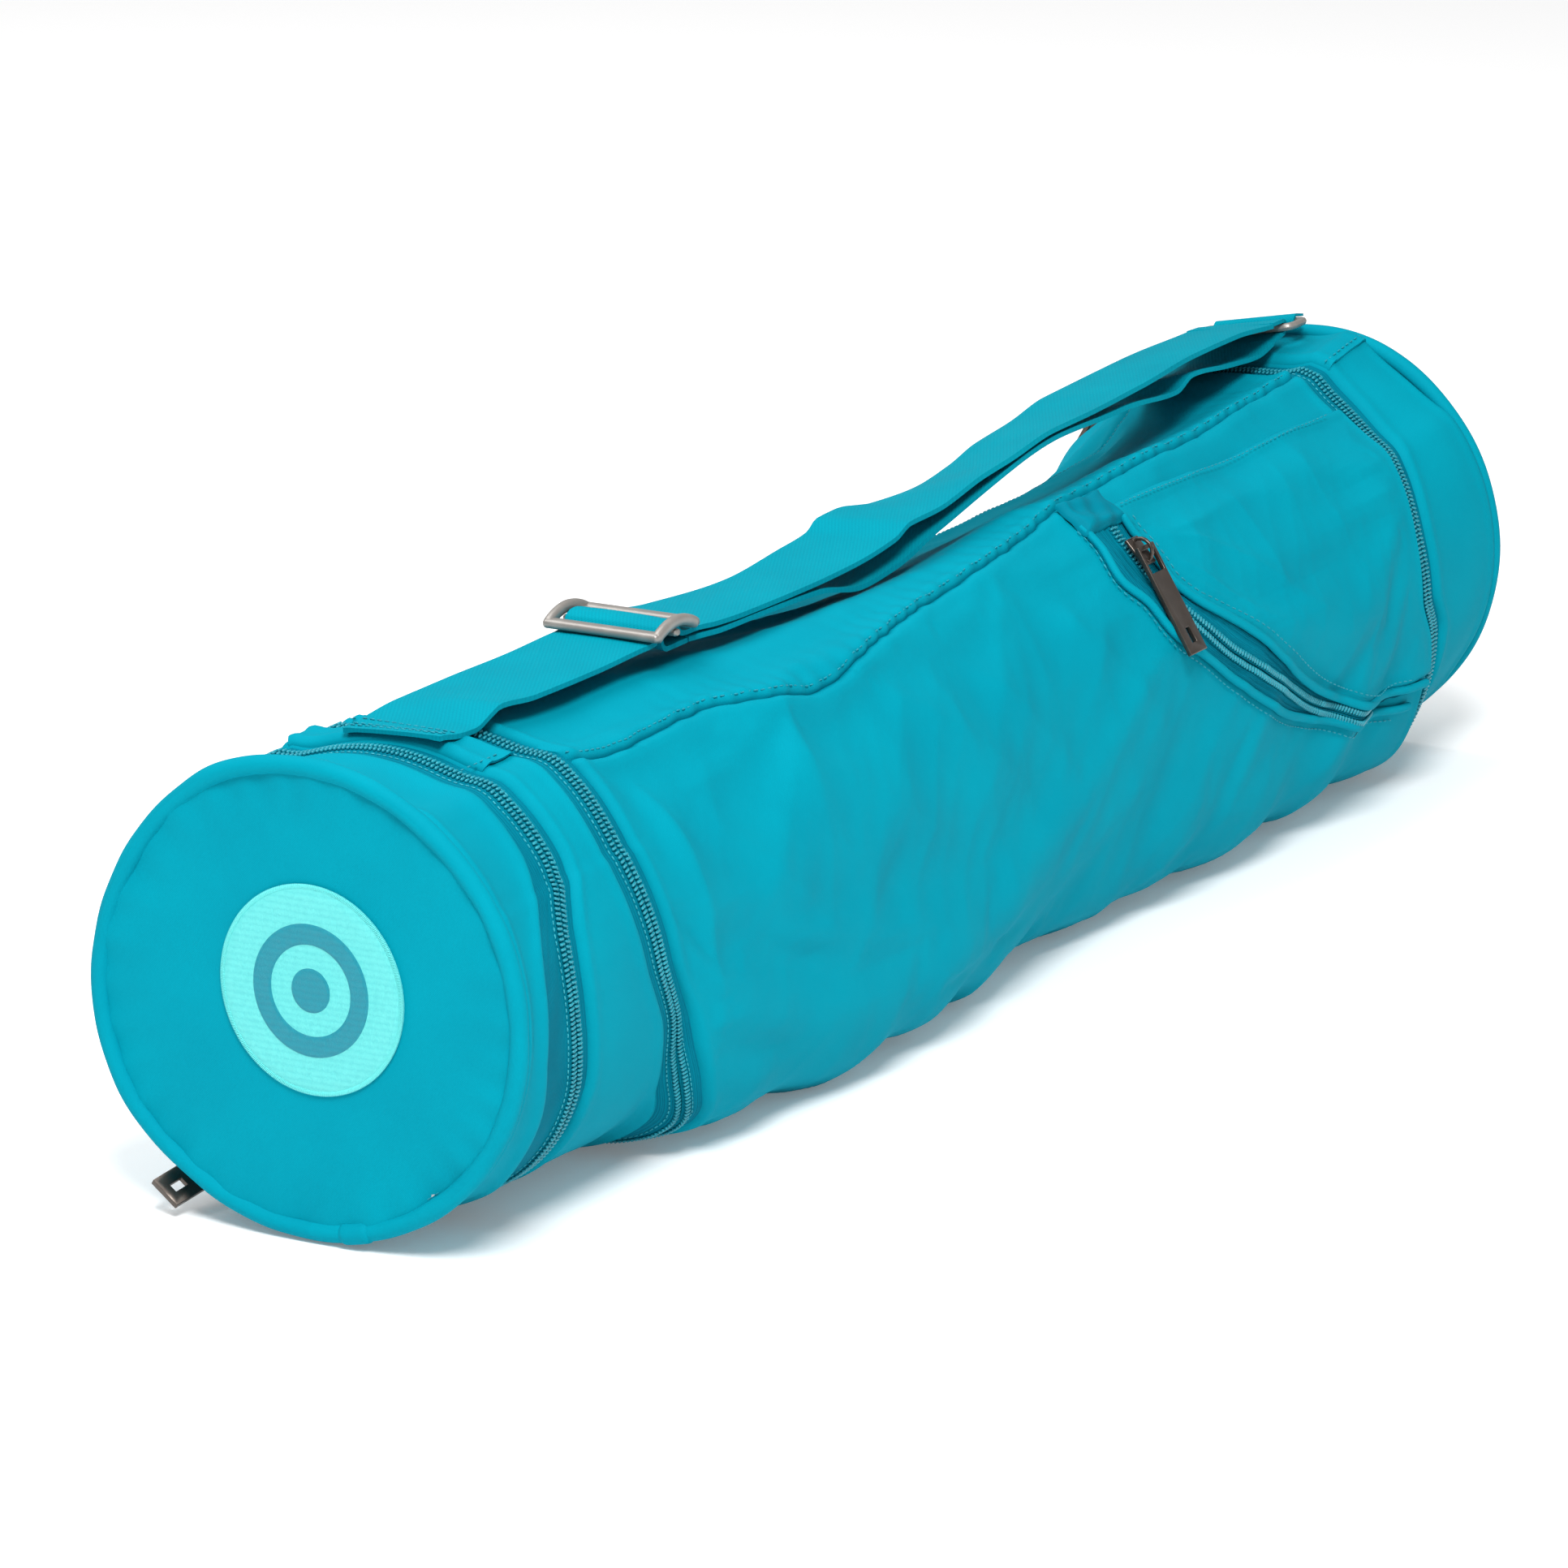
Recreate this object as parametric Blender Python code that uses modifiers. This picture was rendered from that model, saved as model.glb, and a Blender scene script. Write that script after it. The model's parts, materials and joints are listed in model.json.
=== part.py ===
"""Cylindrical carry bag for a rolled exercise mat, with an adjustable shoulder strap.

The bag lies along +X on the floor, z = 0. It is built with its near round end in the plane x = 0, then the
root empty moves it so that the origin is the middle of the underside. Its skin is a chain of sleeves skinned
between hoops. A hoop is a circle about the bag's axis, and its plane may lean. Angles on a hoop are in
degrees from the top, growing towards -Y. All lengths are in metres. Each moving piece hangs from an empty
that stands on its joint's axis.
"""

import math

import bmesh
import bpy
from mathutils import Matrix, Vector

# Overall form
LENGTH = 0.720
END_RADIUS = 0.0825
AXIS_HEIGHT = 0.0790
SEGMENT_DEG = 7.5
GAP = 0.0003

# Fabric, tapes and stiffeners
FABRIC = 0.0012
TAPE_THICKNESS = 0.0009
TAPE_WIDTH = 0.0100
COIL_WIDTH = 0.0016
COIL_HEIGHT = 0.0020
PIPING_RADIUS = 0.0035
BOARD_THICKNESS = 0.0030
BOARD_INSET = 0.0010
DISC_DEPTH = 0.0015
LINING_THICKNESS = 0.0008
PATCH_RADIUS = 0.0355
PATCH_THICKNESS = 0.0011
PATCH_OFFSET_Y = -0.0045
PATCH_OFFSET_Z = 0.0095
PATCH_DEPTH = 0.0001
PANEL_HALF_ANGLE = 30.0

# Zips round the bag: where each crosses the bag's axis, its lean and its radius
EXTENSION_ZIP_X = 0.0415
EXTENSION_ZIP_RADIUS = 0.0785
LID_ZIP_X = 0.0936
LID_ZIP_LEAN = 10.0
LID_ZIP_RADIUS = 0.0785
FAR_ZIP_X = 0.6670
FAR_ZIP_RADIUS = 0.0800
WAIST_X = 0.2000
WAIST_RADIUS = 0.0797
CHEST_X = 0.5000
CHEST_RADIUS = 0.0805

# Folded extension sleeve inside the near end
GUSSET_DEPTH = 0.0280
GUSSET_CLEARANCE = 0.0012
GUSSET_THICKNESS = 0.0006
GUSSET_LAYER_GAP = 0.0008

# Pocket on the bag's -Y side: (x, angle) of its curved zip, from the tab down to the far zip
POCKET_CURVE = (
    (0.4640, 40.0), (0.4640, 52.0), (0.4670, 61.0), (0.4840, 74.0), (0.5140, 88.0),
    (0.5500, 100.0), (0.5900, 111.0), (0.6200, 117.5), (0.6480, 120.5),
)
POCKET_TOP_DEG = 31.5
POCKET_COIL_WIDTH = 0.0034
POCKET_TAPE_WIDTH = 0.0085
POCKET_LIFT = 0.0005
TAB_LENGTH = 0.0230
TAB_WIDTH = 0.0220
TAB_OVERLAP_DEG = 1.0

# Strap
WEB_WIDTH = 0.0380
WEB_THICKNESS = 0.0014
LOOP_THICKNESS = 0.0008
LOOP_NARROWER = 0.0010
STRAP_END_X = 0.0560
STRAP_LAP = 0.0012
BUCKLE_X = 0.2000
BUCKLE_LENGTH = 0.0260
BUCKLE_WIDTH = 0.0470
BUCKLE_THICKNESS = 0.0030
BUCKLE_BAR = 0.0040
BUCKLE_RAIL = 0.0036
RING_X = 0.7000
RING_Y = 0.0160
RING_LIFT = 0.0045
RING_LENGTH = 0.0170
RING_SIDE = 0.0030
RING_WIRE = 0.0016
RING_ROLL = -11.0
RING_CORNER = 0.0030
TAB_WEB_WIDTH = 0.0360
TAB_THICKNESS = 0.0010
TAB_PINCH = 0.62

# Zip sliders and their pulls
SLIDER_WIDTH = 0.0086
SLIDER_LENGTH = 0.0120
SLIDER_PLATE = 0.0016
SLIDER_CLEARANCE = 0.00082
CROWN_RADIUS = 0.0046
CROWN_WIRE = 0.0008
PULL_LENGTH = 0.0430
PULL_WIDTH = 0.0120
PULL_THICKNESS = 0.0020
PULL_WINDOW_LENGTH = 0.0100
PULL_WINDOW_WIDTH = 0.0094
PULL_HOLE_LENGTH = 0.0060
PULL_HOLE_WIDTH = 0.0032
PULL_HOLE_MARGIN = 0.0040
PULL_BAR = 0.0018
EXTENSION_PULL_TIP = 11.0
ROUND_PULL_TIP = -12.0
EXTENSION_SLIDER_DEG = -142.0
LID_SLIDER_DEG = -48.0
FAR_SLIDER_DEG = -48.0
POCKET_SLIDER_DEG = 47.0

TEAL = (0.0, 0.38, 0.52)
DARK_TEAL = (0.0, 0.27, 0.38)
AQUA = (0.17, 0.79, 0.75)
ZIP_TEAL = (0.0, 0.30, 0.42)
GREY_METAL = (0.30, 0.28, 0.26)
GUNMETAL = (0.09, 0.08, 0.07)
BOARD_GREY = (0.55, 0.56, 0.56)


class Hoop:
    """A circle about the bag's axis: its centre, the lean of its plane and its radius."""

    def __init__(self, x, radius, lean=0.0):
        self.x = x
        self.radius = radius
        self.lean = math.radians(lean)

    def shifted(self, distance):
        """The hoop moved along the bag until its plane is this far from where it was."""
        return Hoop(self.x + distance / math.cos(self.lean), self.radius, math.degrees(self.lean))

    def normal(self):
        return Vector((math.cos(self.lean), 0, math.sin(self.lean)))

    def outward(self, angle):
        turn = math.radians(angle)
        up = Vector((-math.sin(self.lean), 0, math.cos(self.lean)))
        return up * math.cos(turn) + Vector((0, -1, 0)) * math.sin(turn)

    def centre(self):
        return Vector((self.x, 0, AXIS_HEIGHT))

    def point(self, angle, floor=0.0):
        """The point at this angle, held up at the floor where the bag rests flat."""
        place = self.centre() + self.outward(angle) * self.radius
        place.z = max(place.z, floor)
        return place


EXTENSION_HOOP = Hoop(EXTENSION_ZIP_X, EXTENSION_ZIP_RADIUS)
LID_HOOP = Hoop(LID_ZIP_X, LID_ZIP_RADIUS, LID_ZIP_LEAN)
FAR_HOOP = Hoop(FAR_ZIP_X, FAR_ZIP_RADIUS)
COIL_START = GAP / 2
TAPE_START = COIL_START + COIL_WIDTH + GAP
TAPE_END = TAPE_START + TAPE_WIDTH
FABRIC_START = TAPE_END + GAP


def clear_scene():
    for obj in list(bpy.data.objects):
        bpy.data.objects.remove(obj, do_unlink=True)


def make_collection(name):
    collection = bpy.data.collections.new(name)
    bpy.context.scene.collection.children.link(collection)
    return collection


def make_material(name, color, roughness, metallic=0.0):
    material = bpy.data.materials.new(name)
    material.use_nodes = True
    shader = material.node_tree.nodes["Principled BSDF"]
    shader.inputs["Base Color"].default_value = (*color, 1.0)
    shader.inputs["Roughness"].default_value = roughness
    shader.inputs["Metallic"].default_value = metallic
    material.diffuse_color = (*color, 1.0)
    return material


clear_scene()
BAG = make_collection("mat_bag")
CUTTERS = make_collection("cutters")
MAIN_FABRIC = make_material("main_fabric", TEAL, 0.75)
ZIP_TAPE = make_material("zip_tape", DARK_TEAL, 0.80)
ZIP_COIL = make_material("zip_coil", ZIP_TEAL, 0.45)
WEBBING = make_material("webbing", TEAL, 0.70)
EMBROIDERY = make_material("embroidery", AQUA, 0.55)
BUCKLE_METAL = make_material("buckle_metal", GREY_METAL, 0.35, 0.9)
SLIDER_METAL = make_material("slider_metal", GUNMETAL, 0.35, 0.9)
END_BOARD = make_material("end_board", BOARD_GREY, 0.60)


def object_from(bm, name, material, collection=BAG):
    mesh = bpy.data.meshes.new(name)
    bm.to_mesh(mesh)
    bm.free()
    obj = bpy.data.objects.new(name, mesh)
    obj.data.materials.append(material)
    collection.objects.link(obj)
    return obj


def shade_round(obj):
    obj.data.shade_smooth()
    obj.data.set_sharp_from_angle(angle=math.radians(40))


def thicken(obj, thickness, offset=-1.0):
    solidify = obj.modifiers.new("thickness", "SOLIDIFY")
    solidify.thickness = thickness
    solidify.offset = offset
    solidify.use_even_offset = True


def skin_grid(name, rows, material, closed=False):
    """A sheet through rows of points. Each row runs across the one before it."""
    bm = bmesh.new()
    grid = [[bm.verts.new(point) for point in row] for row in rows]
    count = len(rows[0])
    for near, far in zip(grid, grid[1:]):
        for i in range(count if closed else count - 1):
            j = (i + 1) % count
            bm.faces.new((near[i], near[j], far[j], far[i]))
    obj = object_from(bm, name, material)
    shade_round(obj)
    return obj


def arc_angles(start, end):
    """Evenly spaced angles, about a segment apart, over a closed turn or an arc."""
    steps = max(1, round(abs(end - start) / SEGMENT_DEG))
    return [start + (end - start) * i / steps for i in range(steps + 1)]


def sleeve(name, hoops, thickness, material, arc=None):
    """A tube skinned over its hoops, outside face first; arc limits it to part of a turn."""
    angles = arc_angles(*arc) if arc else arc_angles(0, 360)[:-1]
    rows = [[hoop.point(angle) for angle in angles] for hoop in hoops]
    thicken(skin_grid(name, rows, material, closed=not arc), thickness)


def edge_angle(angle, radius, side):
    """An arc's end, pulled back by half a gap from the seam at this angle."""
    return angle + side * math.degrees(GAP / 2 / radius)


def side_arc(radius):
    """The turn from the panel's -Y seam, round under the bag, to its +Y seam."""
    return edge_angle(PANEL_HALF_ANGLE, radius, 1), edge_angle(360 - PANEL_HALF_ANGLE, radius, -1)


def panel_arc(radius):
    return edge_angle(-PANEL_HALF_ANGLE, radius, 1), edge_angle(PANEL_HALF_ANGLE, radius, -1)


def disc(name, x, radius, thickness, floor, material, centre=(0.0, AXIS_HEIGHT)):
    """A flat round piece from x to x + thickness, with its outline held above the floor."""
    bm = bmesh.new()
    steps = round(360 / SEGMENT_DEG)
    turns = [2 * math.pi * i / steps for i in range(steps)]
    outline = [(centre[0] - radius * math.sin(t), centre[1] + radius * math.cos(t)) for t in turns]
    bm.faces.new([bm.verts.new((x, y, max(z, floor))) for y, z in outline])
    grown = bmesh.ops.extrude_face_region(bm, geom=bm.faces[:])
    moved = [item for item in grown["geom"] if isinstance(item, bmesh.types.BMVert)]
    bmesh.ops.translate(bm, verts=moved, vec=(thickness, 0, 0))
    bmesh.ops.recalc_face_normals(bm, faces=bm.faces[:])
    return object_from(bm, name, material)


def tube_through(name, points, radius, material, cyclic=False, resolution=2):
    """A round cord through these points."""
    curve = bpy.data.curves.new(name, "CURVE")
    curve.dimensions = "3D"
    curve.bevel_depth = radius
    curve.bevel_resolution = resolution
    curve.use_fill_caps = not cyclic
    spline = curve.splines.new("POLY")
    spline.points.add(len(points) - 1)
    for slot, point in zip(spline.points, points):
        slot.co = (*point, 1.0)
    spline.use_cyclic_u = cyclic
    obj = bpy.data.objects.new(name, curve)
    obj.data.materials.append(material)
    BAG.objects.link(obj)
    return obj


def as_mesh(obj):
    """The curve object turned into a mesh, with its caps sewn on."""
    bpy.context.view_layer.update()
    graph = bpy.context.evaluated_depsgraph_get()
    mesh = bpy.data.meshes.new_from_object(obj.evaluated_get(graph))
    bm = bmesh.new()
    bm.from_mesh(mesh)
    bmesh.ops.remove_doubles(bm, verts=bm.verts[:], dist=1e-6)
    bm.to_mesh(mesh)
    bm.free()
    name, place = obj.name, obj.matrix_world.copy()
    bpy.data.objects.remove(obj, do_unlink=True)
    made = bpy.data.objects.new(name, mesh)
    made.matrix_world = place
    BAG.objects.link(made)
    return made


def smooth_path(stations, steps=5):
    """Points of a smooth curve through stations of any number of values each."""
    padded = [stations[0], *stations, stations[-1]]
    path = []
    for a, b, c, d in zip(padded, padded[1:], padded[2:], padded[3:]):
        for i in range(steps):
            t = i / steps
            path.append(tuple(
                0.5 * (2 * q + (r - p) * t + (2 * p - 5 * q + 4 * r - s) * t**2
                       + (3 * q - p - 3 * r + s) * t**3)
                for p, q, r, s in zip(a, b, c, d)
            ))
    path.append(stations[-1])
    return path


def ribbon(name, stations, width, thickness, material):
    """A flat web through stations (x, y, z, roll in degrees), its width along Y where the roll is 0."""
    rows = []
    for x, y, z, roll in stations:
        turn = math.radians(roll)
        half = Vector((0, math.cos(turn), math.sin(turn))) * width / 2
        centre = Vector((x, y, z))
        rows.append([centre - half, centre, centre + half])
    thicken(skin_grid(name, rows, material), thickness, offset=0.0)


def combine(obj, other, operation):
    """Joins or cuts a mesh with another object, which becomes a hidden cutter."""
    for collection in list(other.users_collection):
        collection.objects.unlink(other)
    CUTTERS.objects.link(other)
    other.hide_render = True
    other.display_type = "WIRE"
    modifier = obj.modifiers.new(operation.lower(), "BOOLEAN")
    modifier.operation = operation
    modifier.solver = "EXACT"
    modifier.object = other


def box(name, low, high, material, collection=BAG):
    """A box between two corners."""
    bm = bmesh.new()
    bmesh.ops.create_cube(bm, size=1.0)
    size = Vector(high) - Vector(low)
    middle = (Vector(high) + Vector(low)) / 2
    bmesh.ops.scale(bm, vec=size, verts=bm.verts[:])
    bmesh.ops.translate(bm, vec=middle, verts=bm.verts[:])
    return object_from(bm, name, material, collection)


def make_end(prefix, x, direction, band_hoop):
    """A round end: fabric disc, stiffening board, lining, piping and the band that joins it to its zip.

    x is the end's outermost plane, and direction, 1 or -1, points into the bag.
    """
    inner_radius = END_RADIUS - 2 * PIPING_RADIUS - GAP
    floor = 2 * PIPING_RADIUS + GAP
    layers = (
        ("disc", DISC_DEPTH, FABRIC, 0.0, MAIN_FABRIC),
        ("board", DISC_DEPTH + FABRIC + GAP, BOARD_THICKNESS, BOARD_INSET, END_BOARD),
        ("lining", DISC_DEPTH + FABRIC + BOARD_THICKNESS + 2 * GAP, LINING_THICKNESS, 0.0, MAIN_FABRIC),
    )
    for layer, depth, thickness, inset, material in layers:
        start = x + direction * depth - (thickness if direction < 0 else 0)
        disc(f"{prefix}_{layer}", start, inner_radius - inset, thickness, floor + inset, material)
    piping_hoop = Hoop(x + direction * PIPING_RADIUS, END_RADIUS - PIPING_RADIUS)
    route = [piping_hoop.point(angle, PIPING_RADIUS) for angle in arc_angles(0, 360)[:-1]]
    tube_through(f"{prefix}_piping", route, PIPING_RADIUS, MAIN_FABRIC, cyclic=True)
    end_hoop = Hoop(x + direction * (2 * PIPING_RADIUS + GAP), END_RADIUS - GAP)
    return [end_hoop, band_hoop] if direction > 0 else [band_hoop, end_hoop]


def make_zip_half(prefix, hoop, side, body, arc):
    """One side of a ring zip: its coil next to the zip's line, then its tape."""
    for piece, start, end, thickness, material in (
        ("coil", COIL_START, COIL_START + COIL_WIDTH, COIL_HEIGHT, ZIP_COIL),
        ("tape", TAPE_START, TAPE_END, TAPE_THICKNESS, ZIP_TAPE),
    ):
        ends = [hoop.shifted(side * start), hoop.shifted(side * end)]
        if side < 0:
            ends.reverse()
        sleeve(f"{prefix}_zip_{piece}_{body}", ends, thickness, material, arc)


def make_near_cap():
    near_hoops = make_end("near", 0.0, 1, EXTENSION_HOOP.shifted(-FABRIC_START))
    sleeve("near_band", near_hoops, FABRIC, MAIN_FABRIC)
    centre = (PATCH_OFFSET_Y, AXIS_HEIGHT + PATCH_OFFSET_Z)
    disc("embroidered_patch", PATCH_DEPTH, PATCH_RADIUS, PATCH_THICKNESS, 0.0, EMBROIDERY, centre)
    make_zip_half("extension", EXTENSION_HOOP, -1, "cap", None)


def make_near_lid():
    start = EXTENSION_HOOP.shifted(FABRIC_START)
    band_end = LID_HOOP.shifted(-FABRIC_START)
    sleeve("lid_band", [start, band_end], FABRIC, MAIN_FABRIC, side_arc(LID_ZIP_RADIUS))
    panel_end = LID_HOOP.shifted(-GAP / 2)
    sleeve("lid_panel", [start, band_end, panel_end], FABRIC, MAIN_FABRIC, panel_arc(LID_ZIP_RADIUS))
    make_zip_half("extension", EXTENSION_HOOP, 1, "lid", None)
    make_zip_half("lid", LID_HOOP, -1, "lid", side_arc(LID_ZIP_RADIUS))
    outer = EXTENSION_ZIP_RADIUS - FABRIC - GUSSET_CLEARANCE
    inner = outer - GUSSET_THICKNESS - GUSSET_LAYER_GAP
    first_x = EXTENSION_ZIP_X + TAPE_START
    fold_x = first_x + GUSSET_DEPTH
    hoops = [Hoop(first_x, outer), Hoop(fold_x - GUSSET_LAYER_GAP, outer), Hoop(fold_x, (outer + inner) / 2),
             Hoop(fold_x - GUSSET_LAYER_GAP, inner), Hoop(first_x, inner)]
    angles = arc_angles(0, 360)[:-1]
    rows = [[hoop.point(a, EXTENSION_ZIP_RADIUS - hoop.radius) for a in angles] for hoop in hoops]
    thicken(skin_grid("extension_gusset", rows, MAIN_FABRIC, closed=True), GUSSET_THICKNESS)


def make_main_body():
    """The side fabric, the top panel over it, and the body's halves of the two lid zips."""
    waist = Hoop(WAIST_X, WAIST_RADIUS)
    chest = Hoop(CHEST_X, CHEST_RADIUS)
    side_hoops = [LID_HOOP.shifted(FABRIC_START), waist, chest, FAR_HOOP.shifted(-FABRIC_START)]
    sleeve("body_fabric", side_hoops, FABRIC, MAIN_FABRIC, side_arc(LID_ZIP_RADIUS))
    panel_hoops = [LID_HOOP.shifted(GAP / 2), *side_hoops, FAR_HOOP.shifted(-GAP / 2)]
    sleeve("top_panel", panel_hoops, FABRIC, MAIN_FABRIC, panel_arc(LID_ZIP_RADIUS))
    make_zip_half("lid", LID_HOOP, 1, "body", side_arc(LID_ZIP_RADIUS))
    make_zip_half("far", FAR_HOOP, -1, "body", side_arc(FAR_ZIP_RADIUS))


def make_far_lid():
    far_hoops = make_end("far", LENGTH, -1, FAR_HOOP.shifted(FABRIC_START))
    sleeve("far_band", far_hoops, FABRIC, MAIN_FABRIC, side_arc(FAR_ZIP_RADIUS))
    panel_hoops = [FAR_HOOP.shifted(GAP / 2), *far_hoops]
    sleeve("far_panel", panel_hoops, FABRIC, MAIN_FABRIC, panel_arc(FAR_ZIP_RADIUS))
    make_zip_half("far", FAR_HOOP, 1, "lid", side_arc(FAR_ZIP_RADIUS))


def body_radius(x):
    """The main body's outer radius at x, as its hoops give it."""
    stations = ((LID_ZIP_X, LID_ZIP_RADIUS), (WAIST_X, WAIST_RADIUS), (CHEST_X, CHEST_RADIUS),
                (FAR_ZIP_X, FAR_ZIP_RADIUS), (LENGTH, END_RADIUS))
    for (x0, r0), (x1, r1) in zip(stations, stations[1:]):
        if x <= x1:
            return r0 + (r1 - r0) * (x - x0) / (x1 - x0)
    return END_RADIUS


def pocket_point(x, arc_length, lift):
    """A point on the bag's side, from its x and its length round from the top, lifted off the fabric."""
    return Hoop(x, body_radius(x) + lift).point(math.degrees(arc_length / CHEST_RADIUS))


def pocket_route():
    """The pocket zip's middle line as (x, length round from the top)."""
    return smooth_path([(x, math.radians(angle) * CHEST_RADIUS) for x, angle in POCKET_CURVE], 4)


def offset_route(route, distance):
    """The route moved sideways; positive is away from the pocket."""
    moved = []
    for i, (x, s) in enumerate(route):
        before, after = route[max(i - 1, 0)], route[min(i + 1, len(route) - 1)]
        along = Vector((after[0] - before[0], after[1] - before[1])).normalized()
        moved.append((x - along.y * distance, s + along.x * distance))
    return moved


def pocket_strip(name, route, inner, outer, lift, thickness, material):
    """A strip that follows the pocket zip between two sideways offsets."""
    left, right = offset_route(route, outer), offset_route(route, inner)
    rows = []
    for a, b in zip(left, right):
        middle = ((a[0] + b[0]) / 2, (a[1] + b[1]) / 2)
        rows.append([pocket_point(*place, lift) for place in (a, middle, b)])
    obj = skin_grid(name, rows, material)
    obj.data.flip_normals()
    thicken(obj, thickness)


def make_pocket():
    route = pocket_route()
    tape_lift = POCKET_LIFT + TAPE_THICKNESS
    coil_half = POCKET_COIL_WIDTH / 2
    coil_lift = POCKET_LIFT + COIL_HEIGHT
    pocket_strip("pocket_zip_coil", route, -coil_half, coil_half, coil_lift, COIL_HEIGHT, ZIP_COIL)
    tape_in, tape_out = coil_half + GAP, coil_half + GAP + POCKET_TAPE_WIDTH
    pocket_strip("pocket_zip_tape_outer", route, tape_in, tape_out, tape_lift, TAPE_THICKNESS, ZIP_TAPE)
    pocket_strip("pocket_zip_tape_inner", route, -tape_out, -tape_in, tape_lift, TAPE_THICKNESS, ZIP_TAPE)
    lift = POCKET_LIFT + FABRIC
    far_edge = FAR_ZIP_X - FABRIC_START - GAP
    edge = offset_route(route, -tape_out - GAP)
    top = math.radians(POCKET_TOP_DEG) * CHEST_RADIUS
    edge = [(edge[0][0], top)] + [(x, s) for x, s in edge if x < far_edge and s > top]
    rows = []
    for x, s in edge:
        columns = [x + (far_edge - x) * i / 3 for i in range(4)]
        rows.append([pocket_point(column, s, lift) for column in columns])
    panel = skin_grid("pocket_panel", rows, MAIN_FABRIC)
    panel.data.flip_normals()
    thicken(panel, FABRIC)
    tab_lift = coil_lift + GAP + FABRIC
    tab_end = route[0][1] + math.radians(TAB_OVERLAP_DEG) * CHEST_RADIUS
    tab_rows = []
    for i in range(5):
        s = tab_end - TAB_LENGTH + TAB_LENGTH * i / 4
        s = max(s, top)
        columns = (route[0][0] + side * TAB_WIDTH / 2 for side in (-1, 0, 1))
        tab_rows.append([pocket_point(column, s, tab_lift) for column in columns])
    tab = skin_grid("pocket_tab", tab_rows, MAIN_FABRIC)
    tab.data.flip_normals()
    thicken(tab, FABRIC)


def make_slider(prefix, place, tip=0.0):
    """A zip slider and its pull.

    place carries the slider's frame: local +Z out of the bag, local X along the pull at rest, and the
    origin on the coil's outer face. tip is the angle by which the pull stands off the bag.
    """
    half_length, half_width = SLIDER_LENGTH / 2, SLIDER_WIDTH / 2
    top = SLIDER_CLEARANCE + SLIDER_PLATE
    plate = box(f"{prefix}_slider", (-half_length, -half_width, SLIDER_CLEARANCE),
                (half_length, half_width, top), SLIDER_METAL)
    bevel = plate.modifiers.new("edges", "BEVEL")
    bevel.width = SLIDER_PLATE * 0.3
    bevel.segments = 2
    turns = [math.pi * i / 8 for i in range(9)]
    rise = top - CROWN_WIRE * 0.4
    arch = [(CROWN_RADIUS * math.cos(t), 0, rise + CROWN_RADIUS * math.sin(t)) for t in turns]
    crown = as_mesh(tube_through(f"{prefix}_crown", arch, CROWN_WIRE, SLIDER_METAL))
    combine(plate, crown, "UNION")
    half_bar, half_thickness, half_pull = PULL_BAR / 2, PULL_THICKNESS / 2, PULL_WIDTH / 2
    pull = box(f"{prefix}_pull", (-half_bar, -half_pull, -half_thickness),
               (PULL_LENGTH, half_pull, half_thickness), SLIDER_METAL)
    window = box(f"{prefix}_window", (half_bar, -PULL_WINDOW_WIDTH / 2, -PULL_THICKNESS),
                 (PULL_WINDOW_LENGTH, PULL_WINDOW_WIDTH / 2, PULL_THICKNESS), SLIDER_METAL, CUTTERS)
    hole_end = PULL_LENGTH - PULL_HOLE_MARGIN
    hole = box(f"{prefix}_hole", (hole_end - PULL_HOLE_LENGTH, -PULL_HOLE_WIDTH / 2, -PULL_THICKNESS),
               (hole_end, PULL_HOLE_WIDTH / 2, PULL_THICKNESS), SLIDER_METAL, CUTTERS)
    combine(pull, window, "DIFFERENCE")
    combine(pull, hole, "DIFFERENCE")
    for obj in (plate, crown):
        obj.matrix_world = place
    pin = Matrix.Translation((0, 0, pin_height())) @ Matrix.Rotation(math.radians(-tip), 4, "Y")
    for obj in (pull, window, hole):
        obj.matrix_world = place @ pin


def pin_height():
    """The pull's pin above the coil: high enough for its bar to turn clear of the slider's plate."""
    return SLIDER_CLEARANCE + SLIDER_PLATE + GAP + math.hypot(PULL_BAR / 2, PULL_THICKNESS / 2)


def slider_frame(hoop, angle, pull_direction):
    """A slider's frame on a ring zip, with its pull along the hoop's normal or along its circle."""
    outward = hoop.outward(angle)
    normal = hoop.normal()
    along = normal.cross(outward)
    pull = {"near": -normal, "down_back": -along, "down_front": along}[pull_direction]
    side = outward.cross(pull)
    frame = Matrix((pull, side, outward)).transposed().to_4x4()
    return Matrix.Translation(hoop.centre() + outward * hoop.radius) @ frame


def make_sliders():
    make_slider("extension", slider_frame(EXTENSION_HOOP, EXTENSION_SLIDER_DEG, "near"), EXTENSION_PULL_TIP)
    make_slider("lid", slider_frame(LID_HOOP, LID_SLIDER_DEG, "down_back"), ROUND_PULL_TIP)
    make_slider("far", slider_frame(FAR_HOOP, FAR_SLIDER_DEG, "down_back"), ROUND_PULL_TIP)
    x = POCKET_CURVE[0][0]
    pocket_hoop = Hoop(x, body_radius(x) + POCKET_LIFT + COIL_HEIGHT)
    make_slider("pocket", slider_frame(pocket_hoop, POCKET_SLIDER_DEG, "down_front"), ROUND_PULL_TIP)


def strap_levels():
    """Heights of the web's middle line: on the lid panel, under the buckle, and of the lower layer."""
    panel_top = AXIS_HEIGHT + WAIST_RADIUS
    lower = panel_top + GAP + WEB_THICKNESS / 2
    upper = lower + WEB_THICKNESS + GAP
    return lower, upper


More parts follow.
